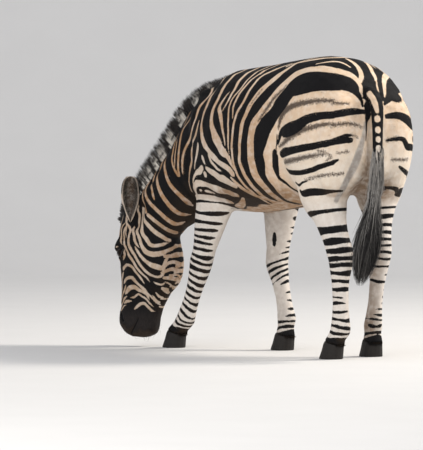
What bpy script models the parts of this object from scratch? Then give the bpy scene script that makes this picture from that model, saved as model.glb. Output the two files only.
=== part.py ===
"""A life-size plains zebra, grazing with its head at the ground, as a still museum model.

The body is lofted from named stations, fused into one smooth form, and parted with thin cuts into
head, neck, trunk and legs. Metres, +Z up. The zebra faces -X, and its left side is towards -Y.
The origin is on the ground under the middle of the whole model.
"""

import math

import bmesh
import bpy
import numpy as np
from mathutils import Matrix, Vector
from mathutils.bvhtree import BVHTree

# ---- Driving dimensions ---------------------------------------------------------------------
HEAD_LENGTH = 0.575
HEAD_TURN = math.radians(23)  # the head points this far to the animal's left
HEAD_TILT = math.radians(4)  # and its muzzle this far forward of straight down
POLL = Vector((-0.600, -0.217, 0.620))
BEND_MIDDLE = 0.20  # the spine bends to the left on a circle, level with this x
BEND_RADIUS = 4.8
EYE_RADIUS = 0.0205
GAP = 0.0004  # left between pieces that touch
CUT = 0.0006  # thickness of the cuts that part the body

# ---- Detail of the meshes -------------------------------------------------------------------
RING_SIDES = 28
LEG_SIDES = 20
TAIL_SIDES = 10
TUFT_SIDES = 12
HOOF_SIDES = 16
BALL_SIDES = (24, 16)  # round and from pole to pole
EYE_SIDES = (16, 10)
VOXEL = 0.011
SMOOTHINGS = 9
SHRINK, REGROW = 0.50, -0.52  # the shares moved by each pair of smoothing turns
BODY_TRIANGLES = 4700

# ---- How square the rounded outlines are; 2 is an ellipse --------------------------------------
TRUNK_SQUARE = 2.2
NECK_SQUARE = 2.1
LEG_SQUARE = 2.1
HOOF_SQUARE = 2.1


def clear_scene():
    for obj in list(bpy.data.objects):
        bpy.data.objects.remove(obj)


# ---- Lofts ----------------------------------------------------------------------------------
def smooth_rows(rows, steps):
    """The rows of numbers with more put between them, on a Catmull-Rom curve through them."""
    rows = np.array(rows, float)
    before, after = 2 * rows[0] - rows[1], 2 * rows[-1] - rows[-2]
    padded = np.vstack([before, rows, after])
    found = []
    for i in range(1, len(padded) - 2):
        a, b, c, d = padded[i - 1 : i + 3]
        for t in np.arange(steps) / steps:
            found.append(0.5 * (2 * b + (c - a) * t + (2 * a - 5 * b + 4 * c - d) * t**2
                                + (3 * b - a - 3 * c + d) * t**3))
    return np.array(found + [rows[-1]])


def ring(centre, side, up, half_width, above, below, square=2.0, sides=RING_SIDES):
    """Points round a centre: a rounded outline with its own height above and below the centre."""
    points = []
    for k in range(sides):
        angle = 2 * math.pi * k / sides
        across, rise = math.cos(angle), math.sin(angle)
        across = math.copysign(abs(across) ** (2 / square), across) * half_width
        rise = math.copysign(abs(rise) ** (2 / square), rise) * (above if rise > 0 else below)
        points.append(Vector(centre) + Vector(side) * across + Vector(up) * rise)
    return points


def loft(name, rings):
    """A closed mesh object through rings with the same number of points."""
    mesh = bmesh.new()
    loops = [[mesh.verts.new(p) for p in points] for points in rings]
    for low, high in zip(loops, loops[1:]):
        for k in range(len(low)):
            n = (k + 1) % len(low)
            mesh.faces.new((low[k], low[n], high[n], high[k]))
    mesh.faces.new(loops[0])
    mesh.faces.new(loops[-1])
    return made(name, mesh)


def made(name, mesh):
    """A new object of this mesh, its faces turned outward."""
    mesh.normal_update()
    bmesh.ops.recalc_face_normals(mesh, faces=mesh.faces)
    data = bpy.data.meshes.new(name)
    mesh.to_mesh(data)
    mesh.free()
    obj = bpy.data.objects.new(name, data)
    bpy.context.scene.collection.objects.link(obj)
    return obj


def lump(name, centre, radii, turn):
    """A muscle or bone that shows as a swelling: an ellipsoid, turned by Euler angles in degrees."""
    mesh = bmesh.new()
    bmesh.ops.create_uvsphere(mesh, u_segments=BALL_SIDES[0], v_segments=BALL_SIDES[1], radius=1)
    size = Matrix.Diagonal((*radii, 1))
    spin = Matrix.Rotation(math.radians(turn[2]), 4, "Z")
    spin @= Matrix.Rotation(math.radians(turn[1]), 4, "Y")
    spin @= Matrix.Rotation(math.radians(turn[0]), 4, "X")
    mesh.transform(Matrix.Translation(centre) @ spin @ size)
    return made(name, mesh)


# ---- Trunk ----------------------------------------------------------------------------------
# x from the buttock forward to the chest, then top, underside, half width, height of the widest
TRUNK = (
    (0.835, 1.020, 0.780, 0.070, 0.900),
    (0.815, 1.085, 0.730, 0.130, 0.910),
    (0.775, 1.155, 0.700, 0.204, 0.920),
    (0.715, 1.210, 0.680, 0.250, 0.930),
    (0.620, 1.240, 0.665, 0.262, 0.940),
    (0.500, 1.248, 0.650, 0.262, 0.930),
    (0.360, 1.236, 0.620, 0.270, 0.900),
    (0.200, 1.216, 0.595, 0.286, 0.870),
    (0.050, 1.201, 0.582, 0.282, 0.860),
    (-0.070, 1.182, 0.585, 0.255, 0.860),
    (-0.170, 1.120, 0.600, 0.215, 0.855),
    (-0.240, 1.030, 0.635, 0.165, 0.840),
    (-0.290, 0.920, 0.700, 0.095, 0.810),
)
# muscles on each side: x, distance out and height of the middle, then radii, and the turn in degrees
TRUNK_LUMPS = {
    "shoulder": ((-0.090, 0.135, 0.880), (0.125, 0.108, 0.240), (0, -16, 0)),
    "upper_arm": ((-0.120, 0.130, 0.730), (0.125, 0.092, 0.115), (0, 0, 0)),
    "haunch": ((0.610, 0.145, 0.920), (0.200, 0.130, 0.240), (0, 0, 0)),
    "buttock": ((0.735, 0.120, 0.880), (0.105, 0.120, 0.230), (0, 6, 0)),
}


def bend(point):
    """A point of the straight trunk, moved to where the spine's bend to the left puts it."""
    x, y, z = point
    angle = (x - BEND_MIDDLE) / BEND_RADIUS
    across = BEND_RADIUS + y
    return Vector((BEND_MIDDLE + across * math.sin(angle), across * math.cos(angle) - BEND_RADIUS, z))


def trunk():
    rings = []
    for x, top, under, half, wide in smooth_rows(TRUNK, 4):
        rings.append(ring((x, 0, wide), (0, 1, 0), (0, 0, 1), half, top - wide, wide - under,
                          TRUNK_SQUARE))
    forms = [loft("trunk_form", rings)]
    for side in (-1, 1):
        for name, ((x, out, height), radii, turn) in TRUNK_LUMPS.items():
            forms.append(lump(name, (x, side * out, height), radii, turn))
    for form in forms:
        for vertex in form.data.vertices:
            vertex.co = bend(vertex.co)
    return forms


# ---- Neck: centre x, y, z, half width, crest above, throat below; rings square to its path ----
NECK = (
    (0.050, 0.000, 0.930, 0.170, 0.200, 0.200),
    (-0.100, -0.012, 0.900, 0.205, 0.230, 0.230),
    (-0.210, -0.050, 0.830, 0.180, 0.208, 0.215),
    (-0.295, -0.090, 0.750, 0.145, 0.160, 0.175),
    (-0.365, -0.122, 0.665, 0.114, 0.145, 0.155),
    (-0.420, -0.150, 0.600, 0.094, 0.132, 0.135),
    (-0.455, -0.165, 0.540, 0.080, 0.126, 0.120),
)


def path_frames(points):
    """At each point of a path: its direction, the level direction to its right, and up between."""
    points = np.array(points, float)
    ahead = np.gradient(points, axis=0)
    frames = []
    for p, t in zip(points, ahead):
        along = Vector(t).normalized()
        side = along.cross(Vector((0, 0, 1))).normalized()
        frames.append((Vector(p), along, side, side.cross(along).normalized()))
    return frames


def neck():
    rows = smooth_rows(NECK, 4)
    rings = []
    for (centre, _, side, up), (half, above, below) in zip(path_frames(rows[:, :3]), rows[:, 3:]):
        rings.append(ring(centre, side, up, half, above, below, NECK_SQUARE))
    return [loft("neck_form", rings)]


# ---- Head: its own frame, from the poll along the nose, with the brow ahead -------------------
def head_frame():
    ahead = Vector((-math.cos(HEAD_TURN), -math.sin(HEAD_TURN), 0))
    nose = Vector((0, 0, -1)) * math.cos(HEAD_TILT) + ahead * math.sin(HEAD_TILT)
    left = Vector((0, 0, 1)).cross(ahead).normalized()
    return nose, left, left.cross(nose).normalized() * -1


NOSE, LEFT, BROW = head_frame()


def on_head(along, across, ahead):
    """A point of the head: along the nose from the poll, to its left, and ahead of the face line,
    in shares of the head's length."""
    return POLL + (NOSE * along + LEFT * across + BROW * ahead) * HEAD_LENGTH


# along the nose, then forehead line, jaw line, half width, where it is widest, squareness
HEAD = (
    (-0.060, -0.090, -0.250, 0.060, -0.160, 2.0),
    (-0.020, -0.030, -0.320, 0.105, -0.150, 2.1),
    (0.060, 0.012, -0.385, 0.130, -0.140, 2.2),
    (0.160, 0.030, -0.420, 0.150, -0.125, 2.4),
    (0.250, 0.035, -0.440, 0.158, -0.120, 2.5),
    (0.340, 0.028, -0.465, 0.160, -0.120, 2.6),
    (0.440, 0.012, -0.485, 0.152, -0.125, 2.6),
    (0.560, 0.000, -0.468, 0.126, -0.135, 2.6),
    (0.660, -0.005, -0.394, 0.108, -0.140, 2.5),
    (0.760, -0.003, -0.345, 0.096, -0.140, 2.5),
    (0.850, 0.000, -0.322, 0.098, -0.140, 2.5),
    (0.920, -0.012, -0.315, 0.100, -0.145, 2.5),
    (0.970, -0.045, -0.290, 0.086, -0.150, 2.4),
    (1.000, -0.100, -0.220, 0.050, -0.155, 2.2),
)
# swellings on each side: their place along the nose, to the side and ahead, then radii
HEAD_LUMPS = {
    "brow_ridge": ((0.325, 0.128, -0.030), (0.034, 0.022, 0.036)),
    "nostril_form": ((0.895, 0.068, -0.072), (0.030, 0.022, 0.032)),
}


def head():
    rings = []
    for along, face, jaw, half, wide, square in smooth_rows(HEAD, 4):
        rings.append(ring(on_head(along, 0, wide), LEFT, BROW, half * HEAD_LENGTH,
                          (face - wide) * HEAD_LENGTH, (wide - jaw) * HEAD_LENGTH, square))
    forms = [loft("head_form", rings)]
    for side in (-1, 1):
        for name, ((along, out, ahead), radii) in HEAD_LUMPS.items():
            forms.append(lump(name, on_head(along, side * out, ahead), radii, (0, 0, 0)))
    return forms


# ---- Legs -----------------------------------------------------------------------------------
# Each leg's joints, from the trunk down to the top of the hoof.
FORE_JOINTS = {
    "left": ((-0.090, -0.135, 0.860), (-0.105, -0.135, 0.650), (-0.205, -0.130, 0.370),
             (-0.320, -0.130, 0.125), (-0.375, -0.130, 0.066)),
    "right": ((-0.050, 0.130, 0.860), (0.020, 0.120, 0.650), (0.005, 0.110, 0.370),
              (0.068, 0.110, 0.135), (0.062, 0.110, 0.066)),
}
HIND_JOINTS = {
    "left": ((0.620, -0.130, 0.950), (0.632, -0.140, 0.660), (0.722, -0.132, 0.420),
             (0.722, -0.132, 0.125), (0.690, -0.135, 0.066)),
    "right": ((0.640, 0.140, 0.950), (0.625, 0.150, 0.660), (0.680, 0.115, 0.430),
              (0.655, 0.098, 0.130), (0.652, 0.100, 0.066)),
}
# degrees that the toes turn towards the left
TOES_OUT = {"foreleg_left": 14, "foreleg_right": 8, "hindleg_left": 12, "hindleg_right": -12}
# segment, share along it, front radius, back radius, half width
FORE_FORM = (
    (0, 0.00, 0.090, 0.100, 0.060),
    (0, 0.60, 0.090, 0.105, 0.068),
    (1, 0.00, 0.085, 0.100, 0.066),
    (1, 0.25, 0.078, 0.084, 0.060),
    (1, 0.55, 0.064, 0.066, 0.052),
    (1, 0.80, 0.052, 0.053, 0.045),
    (2, 0.00, 0.053, 0.050, 0.045),
    (2, 0.18, 0.046, 0.048, 0.041),
    (2, 0.38, 0.037, 0.043, 0.034),
    (2, 0.65, 0.032, 0.041, 0.030),
    (2, 0.88, 0.036, 0.044, 0.034),
    (3, 0.00, 0.040, 0.046, 0.039),
    (3, 0.50, 0.036, 0.038, 0.036),
    (3, 1.00, 0.042, 0.042, 0.041),
    (3, 1.60, 0.044, 0.042, 0.042),
)
HIND_FORM = (
    (0, 0.00, 0.170, 0.170, 0.125),
    (0, 0.45, 0.150, 0.170, 0.125),
    (1, 0.00, 0.105, 0.115, 0.088),
    (1, 0.25, 0.078, 0.090, 0.066),
    (1, 0.50, 0.062, 0.072, 0.052),
    (1, 0.75, 0.056, 0.068, 0.046),
    (2, 0.00, 0.054, 0.066, 0.045),
    (2, 0.18, 0.048, 0.054, 0.040),
    (2, 0.38, 0.037, 0.043, 0.033),
    (2, 0.65, 0.034, 0.041, 0.030),
    (2, 0.88, 0.038, 0.046, 0.034),
    (3, 0.00, 0.042, 0.050, 0.039),
    (3, 0.50, 0.038, 0.040, 0.036),
    (3, 1.00, 0.043, 0.044, 0.042),
    (3, 1.60, 0.045, 0.044, 0.043),
)


def leg(name, joints, form, toes_out):
    """A leg lofted down its joints, its rings square to the path and set by the form's rows."""
    joints = [Vector(j) for j in joints]
    level = Matrix.Rotation(math.radians(toes_out), 3, "Z") @ Vector((-1, 0, 0))
    rows = []
    for segment, share, front, back, half in form:
        centre = joints[segment].lerp(joints[segment + 1], share)
        rows.append((*centre, front, back, half))
    rows = smooth_rows(rows, 3)
    rings = []
    for centre, tangent, sizes in zip(rows[:, :3], np.gradient(rows[:, :3], axis=0), rows[:, 3:]):
        along = Vector(tangent).normalized()
        ahead = (level - along * level.dot(along)).normalized()
        front, back, half = sizes
        rings.append(ring(centre, ahead.cross(along), ahead, half, front, back, LEG_SQUARE, LEG_SIDES))
    return loft(name, rings)


def legs():
    forms = []
    for kind, all_joints, form in (("foreleg", FORE_JOINTS, FORE_FORM),
                                   ("hindleg", HIND_JOINTS, HIND_FORM)):
        for side, joints in all_joints.items():
            name = kind + "_" + side
            forms.append(leg(name + "_form", joints, form, TOES_OUT[name]))
    return forms


# ---- Fusing the forms into one smooth body ---------------------------------------------------
def baked(obj):
    """The object with its modifiers applied."""
    bpy.context.view_layer.update()
    graph = bpy.context.evaluated_depsgraph_get()
    mesh = bpy.data.meshes.new_from_object(obj.evaluated_get(graph))
    obj.modifiers.clear()
    obj.data = mesh
    return obj


def relaxed(obj, rounds):
    """The mesh smoothed by turns of shrinking and swelling, so that its thin parts keep their size."""
    mesh = obj.data
    points = np.empty(len(mesh.vertices) * 3)
    mesh.vertices.foreach_get("co", points)
    points = points.reshape(-1, 3)
    edges = np.empty(len(mesh.edges) * 2, int)
    mesh.edges.foreach_get("vertices", edges)
    one, other = edges.reshape(-1, 2).T
    count = np.bincount(np.concatenate([one, other]), minlength=len(points))[:, None]
    for turn in range(2 * rounds):
        total = np.zeros_like(points)
        np.add.at(total, one, points[other])
        np.add.at(total, other, points[one])
        points += (total / count - points) * (REGROW if turn % 2 else SHRINK)
    mesh.vertices.foreach_set("co", points.ravel())
    mesh.update()
    return obj


def fused(name, parts):
    """The parts joined into one closed skin, smoothed, and thinned to the body's triangle count."""
    joined = bmesh.new()
    for part in parts:
        joined.from_mesh(part.data)
        bpy.data.objects.remove(part)
    body = made(name, joined)
    remesh = body.modifiers.new("fuse", "REMESH")
    remesh.mode = "VOXEL"
    remesh.voxel_size = VOXEL
    body = relaxed(baked(body), SMOOTHINGS)
    thin = body.modifiers.new("thin", "DECIMATE")
    thin.ratio = BODY_TRIANGLES / (2 * len(body.data.polygons))
    return baked(body)


# ---- Cutting --------------------------------------------------------------------------------
def cut(obj, tool, operation="DIFFERENCE"):
    """Cut the object by the tool, which is then removed."""
    change = obj.modifiers.new("cut", "BOOLEAN")
    change.object = tool
    change.operation = operation
    change.solver = "EXACT"
    baked(obj)
    bpy.data.objects.remove(tool)
    return obj


def twin(obj, name, swell=0.0):
    """A copy of the object, swollen by a distance."""
    copy = bpy.data.objects.new(name, obj.data.copy())
    bpy.context.scene.collection.objects.link(copy)
    if swell:
        push = copy.modifiers.new("swell", "DISPLACE")
        push.strength = swell
        push.mid_level = 0
        baked(copy)
    return copy


def slab(centre, normal, height, width, thickness=CUT):
    """A thin plate, square to the normal, this high along the rise of its plane and this wide."""
    normal = Vector(normal).normalized()
    side = normal.cross(Vector((0, 0, 1))).normalized()
    mesh = bmesh.new()
    bmesh.ops.create_cube(mesh, size=1)
    size = Matrix.Diagonal((thickness, width, height, 1))
    axes = Matrix((normal, side, normal.cross(side))).transposed().to_4x4()
    mesh.transform(Matrix.Translation(centre) @ axes @ size)
    return made("slab", mesh)


BELOW_FLOOR = -0.05  # the leg spaces reach from here
OUTSIDE = 0.60  # to this far out from the middle, clear of the body
SLANT_GAP = 1.6  # the slanting plane rises this many gaps, to stand a gap clear


def leg_block(side, middle, root, hip, back, front, grow=0.0):
    """The space of one leg: outward of a plane that rises from its inner root to the hip, each given
    as distance out from the middle and height, and between its front and back."""
    rise = SLANT_GAP * grow
    outline = ((root[0], BELOW_FLOOR), (root[0], root[1] + rise), (hip[0], hip[1] + rise),
               (OUTSIDE, hip[1] + rise), (OUTSIDE, BELOW_FLOOR))
    rings = []
    for x in (front - grow, back + grow):
        rings.append([Vector((x, middle + side * (y - grow), z)) for y, z in outline])
    return loft("leg_block", rings)


def loose_parts(obj):
    """The separate shells of a mesh, each as a new object, and the object removed."""
    mesh = bmesh.new()
    mesh.from_mesh(obj.data)
    left = set(mesh.verts)
    found = []
    while left:
        stack = [left.pop()]
        shell = set(stack)
        while stack:
            for edge in stack.pop().link_edges:
                for vertex in edge.verts:
                    if vertex not in shell:
                        shell.add(vertex)
                        stack.append(vertex)
        left -= shell
        found.append({vertex.index for vertex in shell})
    mesh.free()
    parts = []
    for shell in found:
        piece = bmesh.new()
        piece.from_mesh(obj.data)
        bmesh.ops.delete(piece, geom=[v for v in piece.verts if v.index not in shell], context="VERTS")
        parts.append(made(obj.name, piece))
    bpy.data.objects.remove(obj)
    return sorted(parts, key=lambda part: len(part.data.vertices))


def halved(obj, tool, names, axis):
    """The object parted by a plate into two, named in their order along the axis."""
    parts = loose_parts(cut(obj, tool))[-2:]
    parts.sort(key=lambda part: np.mean([v.co.dot(axis) for v in part.data.vertices]))
    for part, name in zip(parts, names):
        part.name = name
    return parts


# ---- Eyes, ears, mane, tail and hooves --------------------------------------------------------
EYE_PLACE = (0.375, 0.138, -0.050)  # along the nose, to the side, ahead of the face line


def eye(name, side, radius):
    mesh = bmesh.new()
    bmesh.ops.create_uvsphere(mesh, u_segments=EYE_SIDES[0], v_segments=EYE_SIDES[1], radius=radius)
    along, across, ahead = EYE_PLACE
    mesh.transform(Matrix.Translation(on_head(along, side * across, ahead)))
    return made(name, mesh)


EAR_ROOT = (0.150, 0.108, -0.085)
EAR_LENGTH = 0.200
EAR_THICK = 0.005
EAR_FACES = (-0.485, 0.874)  # where the opening looks: ahead and to the side
# share of the length, half width, depth of the cup, lean outward
EAR = (
    (0.00, 0.020, 0.024, 0.000),
    (0.12, 0.025, 0.027, 0.002),
    (0.28, 0.033, 0.030, 0.005),
    (0.46, 0.038, 0.028, 0.008),
    (0.64, 0.037, 0.022, 0.008),
    (0.80, 0.030, 0.015, 0.006),
    (0.92, 0.018, 0.009, 0.002),
    (1.00, 0.008, 0.006, -0.001),
)
EAR_ARC = math.radians(105)  # how far the cup reaches round on each side of its back
EAR_STEPS = 3  # and the steps it takes


def ear(name, side):
    """A cupped ear: crescents round its back, open towards where the ear looks."""
    along, across, ahead = EAR_ROOT
    root = on_head(along, side * across, ahead)
    looks = (BROW * EAR_FACES[0] + LEFT * side * EAR_FACES[1]).normalized()
    up = Vector((0, 0, 1))
    over = looks.cross(up).normalized()
    rings = []
    for share, half, deep, lean in EAR:
        middle = root + up * EAR_LENGTH * share - looks * lean
        outer, inner = [], []
        for k in range(2 * EAR_STEPS + 1):
            angle = EAR_ARC * (k / EAR_STEPS - 1)
            spread = over * math.sin(angle)
            behind = looks * -math.cos(angle)
            outer.append(middle + spread * half + behind * deep)
            inner.append(middle + spread * (half - EAR_THICK) + behind * (deep - EAR_THICK))
        rings.append(outer + inner[::-1])
    return loft(name, rings)


MANE_HALF = 0.017
MANE_ROOT = 0.012  # how deep its foot starts in the body, before it is cut away
MANE_WAIST = (0.55, 0.85)  # at this share of its height it has this share of its width
MANE_TIP = 0.4
RAY_START = 0.2  # above the crest, to find the body's surface under it
# crest x, y, z, height of the hair
MANE = (
    (-0.120, -0.018, 1.140, 0.020),
    (-0.165, -0.030, 1.120, 0.045),
    (-0.230, -0.052, 1.070, 0.068),
    (-0.305, -0.085, 0.990, 0.080),
    (-0.372, -0.118, 0.905, 0.085),
    (-0.430, -0.150, 0.825, 0.086),
    (-0.482, -0.175, 0.745, 0.085),
    (-0.525, -0.195, 0.685, 0.082),
    (-0.565, -0.208, 0.645, 0.074),
    (-0.598, -0.218, 0.612, 0.055),
    (-0.616, -0.226, 0.575, 0.036),
    (-0.620, -0.230, 0.535, 0.016),
)


def mane(name, body):
    """A standing mane: a tapering strip on the body's own crest line."""
    surface = BVHTree.FromPolygons([v.co for v in body.data.vertices],
                                   [p.vertices for p in body.data.polygons])
    rows = smooth_rows(MANE, 2)
    rings = []
    for (point, _, side, up), height in zip(path_frames(rows[:, :3]), rows[:, 3]):
        foot = surface.ray_cast(point + up * RAY_START, -up)[0]
        low, top = foot - up * MANE_ROOT, foot + up * height
        half = side * MANE_HALF
        share, narrow = MANE_WAIST
        waist = low.lerp(top, share)
        rings.append([low - half, low + half, waist + half * narrow, top + half * MANE_TIP,
                      top - half * MANE_TIP, waist - half * narrow])
    return loft(name, rings)


# centre x, y, z, half width, half depth
TAIL = (
    (0.775, -0.038, 1.095, 0.036, 0.030),
    (0.830, -0.046, 1.085, 0.036, 0.029),
    (0.862, -0.053, 1.035, 0.033, 0.026),
    (0.873, -0.058, 0.970, 0.029, 0.022),
    (0.878, -0.062, 0.900, 0.027, 0.020),
    (0.880, -0.065, 0.820, 0.025, 0.018),
    (0.882, -0.071, 0.740, 0.024, 0.018),
    (0.884, -0.082, 0.670, 0.025, 0.019),
)
TUFT = (
    (0.884, -0.083, 0.668, 0.025, 0.019),
    (0.886, -0.093, 0.620, 0.032, 0.024),
    (0.888, -0.108, 0.550, 0.042, 0.030),
    (0.888, -0.125, 0.470, 0.047, 0.033),
    (0.885, -0.139, 0.400, 0.040, 0.029),
    (0.881, -0.150, 0.345, 0.024, 0.018),
    (0.878, -0.156, 0.305, 0.008, 0.006),
)


def strand(name, table, sides):
    """A round or flattened piece lofted down its table of centres, half widths and half depths."""
    rows = smooth_rows(table, 2)
    rings = []
    for centre, tangent, sizes in zip(rows[:, :3], np.gradient(rows[:, :3], axis=0), rows[:, 3:]):
        along = Vector(tangent).normalized()
        side = along.cross(Vector((1, 0, 0))).normalized()
        half, deep = sizes
        rings.append(ring(centre, side, along.cross(side), half, deep, deep, sides=sides))
    return loft(name, rings)


CORONET_TILT = math.radians(14)  # the coronet is higher in front than at the heel
# share down from coronet to floor, shift ahead, front radius, back radius, half width
HOOF = (
    (0.00, 0.000, 0.0415, 0.0400, 0.0400),
    (0.12, 0.003, 0.0440, 0.0410, 0.0420),
    (0.55, 0.008, 0.0490, 0.0420, 0.0450),
    (0.96, 0.014, 0.0560, 0.0440, 0.0485),
    (1.00, 0.014, 0.0540, 0.0420, 0.0465),
)


def hoof(name, coronet, ahead):
    """A hoof: from the slanting coronet to a flat sole on the floor."""
    side = ahead.cross(Vector((0, 0, 1)))
    rings = []
    for share, shift, front, back, half in HOOF:
        tilt = CORONET_TILT * (1 - share)
        forward = (ahead * math.cos(tilt) + Vector((0, 0, math.sin(tilt)))).normalized()
        height = coronet.z * (1 - share) - (GAP / 2) * (share == 0)
        centre = Vector((coronet.x, coronet.y, height)) + ahead * shift
        rings.append(ring(centre, side, forward, half, front, back, HOOF_SQUARE, HOOF_SIDES))
    return loft(name, rings)


HOOF_ROOM = 0.20  # the size of the block that stands for the space below a coronet


def hoof_room(coronet, ahead):
    """The space below the coronet, which the leg leaves to the hoof."""
    tilted = (ahead * math.cos(CORONET_TILT) + Vector((0, 0, math.sin(CORONET_TILT)))).normalized()
    side = ahead.cross(Vector((0, 0, 1)))
    up = side.cross(tilted)
    mesh = bmesh.new()
    bmesh.ops.create_cube(mesh, size=HOOF_ROOM)
    axes = Matrix((tilted, -side, up)).transposed().to_4x4()
    mesh.transform(Matrix.Translation(coronet + up * (GAP - HOOF_ROOM) / 2) @ axes)
    return made("hoof_room", mesh)


# ---- Materials ------------------------------------------------------------------------------
COLOURS = {  # linear red, green, blue, then roughness
    "coat": (0.62, 0.48, 0.36, 0.75),
    "dark_coat": (0.30, 0.20, 0.14, 0.75),
    "mane_hair": (0.05, 0.045, 0.04, 0.70),
    "tail_hair": (0.07, 0.065, 0.06, 0.70),
    "ear_skin": (0.35, 0.27, 0.22, 0.80),
    "eye_gloss": (0.012, 0.008, 0.006, 0.12),
    "hoof_horn": (0.045, 0.040, 0.036, 0.45),
}


def paint(obj, kind):
    """The object's own material, of one of the kinds of surface."""
    material = bpy.data.materials.new(obj.name + "_" + kind)
    material.use_nodes = True
    shader = material.node_tree.nodes["Principled BSDF"]
    *colour, rough = COLOURS[kind]
    shader.inputs["Base Color"].default_value = (*colour, 1)
    shader.inputs["Roughness"].default_value = rough
    shader.inputs["Metallic"].default_value = 0
    material.diffuse_color = (*colour, 1)
    obj.data.materials.clear()
    obj.data.materials.append(material)
    obj.data.shade_smooth()


# ---- The zebra ------------------------------------------------------------------------------
# centre of the plate, its normal, height and width
HEAD_CUT = ((-0.460, -0.168, 0.565), (-0.506, -0.2145, -0.835), 0.46, 0.44)
NECK_CUT = ((-0.200, -0.020, 0.880), (-0.974, -0.137, 0.180), 0.74, 0.70)
# side, middle between the legs, inner root and hip (distance out, height), back, front
LEG_SPACES = {
    "foreleg_left": (-1, 0.0, (0.020, 0.550), (0.300, 0.800), 0.025, -0.70),
    "foreleg_right": (1, 0.0, (0.020, 0.550), (0.300, 0.800), 0.138, -0.70),
    "hindleg_left": (-1, -0.020, (0.006, 0.630), (0.330, 0.950), 1.10, 0.440),
    "hindleg_right": (1, -0.020, (0.006, 0.630), (0.330, 0.950), 1.10, 0.440),
}


def zebra():
    body = fused("trunk", trunk() + neck() + head() + legs())
    for side in (-1, 1):
        cut(body, eye("socket", side, EYE_RADIUS + GAP))
    swollen = twin(body, "swollen", GAP)

    def seated(obj):
        """The object with its foot cut away by the body, a gap clear of it."""
        return cut(cut(obj, twin(swollen, "tool")), twin(body, "tool"))

    pieces = {}
    for name, side in (("left", 1), ("right", -1)):
        pieces["eye_" + name] = (eye("eye_" + name, side, EYE_RADIUS), "eye_gloss")
        pieces["ear_" + name] = (seated(ear("ear_" + name, side)), "ear_skin")
    pieces["mane"] = (seated(mane("mane", body)), "mane_hair")
    pieces["tail"] = (seated(strand("tail", TAIL, TAIL_SIDES)), "coat")
    pieces["tail_tuft"] = (strand("tail_tuft", TUFT, TUFT_SIDES), "tail_hair")
    bpy.data.objects.remove(swollen)

    rest, top = halved(body, slab(*HEAD_CUT), ("rest", "head"), Vector((-1, 0, -1)))
    pieces["head"] = (top, "dark_coat")
    body, front = halved(rest, slab(*NECK_CUT), ("body", "neck"), Vector((-1, 0, 0)))
    pieces["neck"] = (front, "dark_coat")
    for kind, all_joints in (("foreleg", FORE_JOINTS), ("hindleg", HIND_JOINTS)):
        for side, joints in all_joints.items():
            name = kind + "_" + side
            space = LEG_SPACES[name]
            node = twin(body, name)
            cut(node, leg_block(*space), "INTERSECT")
            cut(body, leg_block(*space, GAP))
            coronet = Vector(joints[-1])
            turn = Matrix.Rotation(math.radians(TOES_OUT[name]), 3, "Z")
            ahead = turn @ Vector((-1, 0, 0))
            cut(node, hoof_room(coronet, ahead))
            pieces[name] = (node, "coat")
            hoof_name = "hoof_" + kind[:4] + "_" + side
            pieces[hoof_name] = (hoof(hoof_name, coronet, ahead), "hoof_horn")
    body.name = "trunk"
    pieces["trunk"] = (body, "coat")
    return pieces


def centred(pieces):
    """Move all pieces so that the origin is on the floor under the middle of the whole."""
    points = [v.co for piece, _ in pieces.values() for v in piece.data.vertices]
    middle = [(min(p[i] for p in points) + max(p[i] for p in points)) / 2 for i in (0, 1)]
    for piece, _ in pieces.values():
        piece.data.transform(Matrix.Translation((-middle[0], -middle[1], 0)))


clear_scene()
PIECES = zebra()
centred(PIECES)
for node_name, (node, kind) in PIECES.items():
    node.name = node_name
    node.data.name = node_name
    paint(node, kind)
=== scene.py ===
"""The looks of a grazing plains zebra: one striped skin, its coat, mane, tail, eyes and hooves.

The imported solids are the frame. Their flesh is fused into one skin, which is sculpted, marked with
stripes drawn as strokes on the body, and covered with small tufts that lie along it.
Metres, +Z up; the zebra faces -X and its left side is towards -Y. Strokes are in centimetres.
"""

import math
from contextlib import contextmanager

import bmesh
import bpy
import numpy as np
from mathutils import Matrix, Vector
from mathutils.bvhtree import BVHTree
from mathutils.kdtree import KDTree


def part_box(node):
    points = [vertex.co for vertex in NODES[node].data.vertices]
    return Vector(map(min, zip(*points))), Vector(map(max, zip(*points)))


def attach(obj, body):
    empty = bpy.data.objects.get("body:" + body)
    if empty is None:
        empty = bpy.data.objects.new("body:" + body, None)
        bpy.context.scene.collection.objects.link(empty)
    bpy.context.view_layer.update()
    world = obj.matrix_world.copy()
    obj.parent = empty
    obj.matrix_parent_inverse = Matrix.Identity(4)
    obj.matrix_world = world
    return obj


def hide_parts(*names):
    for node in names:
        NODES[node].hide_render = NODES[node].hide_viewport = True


FLESH = ("trunk", "neck", "head", "tail", "foreleg_left", "foreleg_right", "hindleg_left",
         "hindleg_right")
TRUNK, NECK, HEAD, TAIL, FORE_LEFT, FORE_RIGHT, HIND_LEFT, HIND_RIGHT = range(8)
LEGS = (FORE_LEFT, FORE_RIGHT, HIND_LEFT, HIND_RIGHT)
COAT_DEPTH = np.array((0.0035, 0.0035, 0.0015, 0.003, 0.002, 0.002, 0.0025, 0.0025))  # as in FLESH
SKIN_VOXEL = 0.006
SKIN_SMOOTHINGS = 14
SHRINK, REGROW = 0.50, -0.52  # the shares moved by each pair of smoothing turns
BLUR = 0.6  # the share of its neighbours' values that a vertex takes in each turn
OVERLAP = 0.0006  # the solids are swollen by this, so that the gaps between them close
STROKE_STEP = 0.004  # the distance between the samples of a stroke
TAPER_LENGTH = 0.016  # the length over which the end of a stroke narrows
GAP_FILLED = 0.03  # samples of a stroke that land nearer than this are joined
CM = 0.01
FAR = 0.08  # a mark further off than this doesn't count
NOWHERE = -9  # a depth that no mark reaches, in centimetres
LEG_HEIGHTS = np.arange(0.03, 0.72, 0.02)  # where the middle of a leg is found
LEG_SLICE = 0.012  # half the height of the slice that each middle is found from
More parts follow.
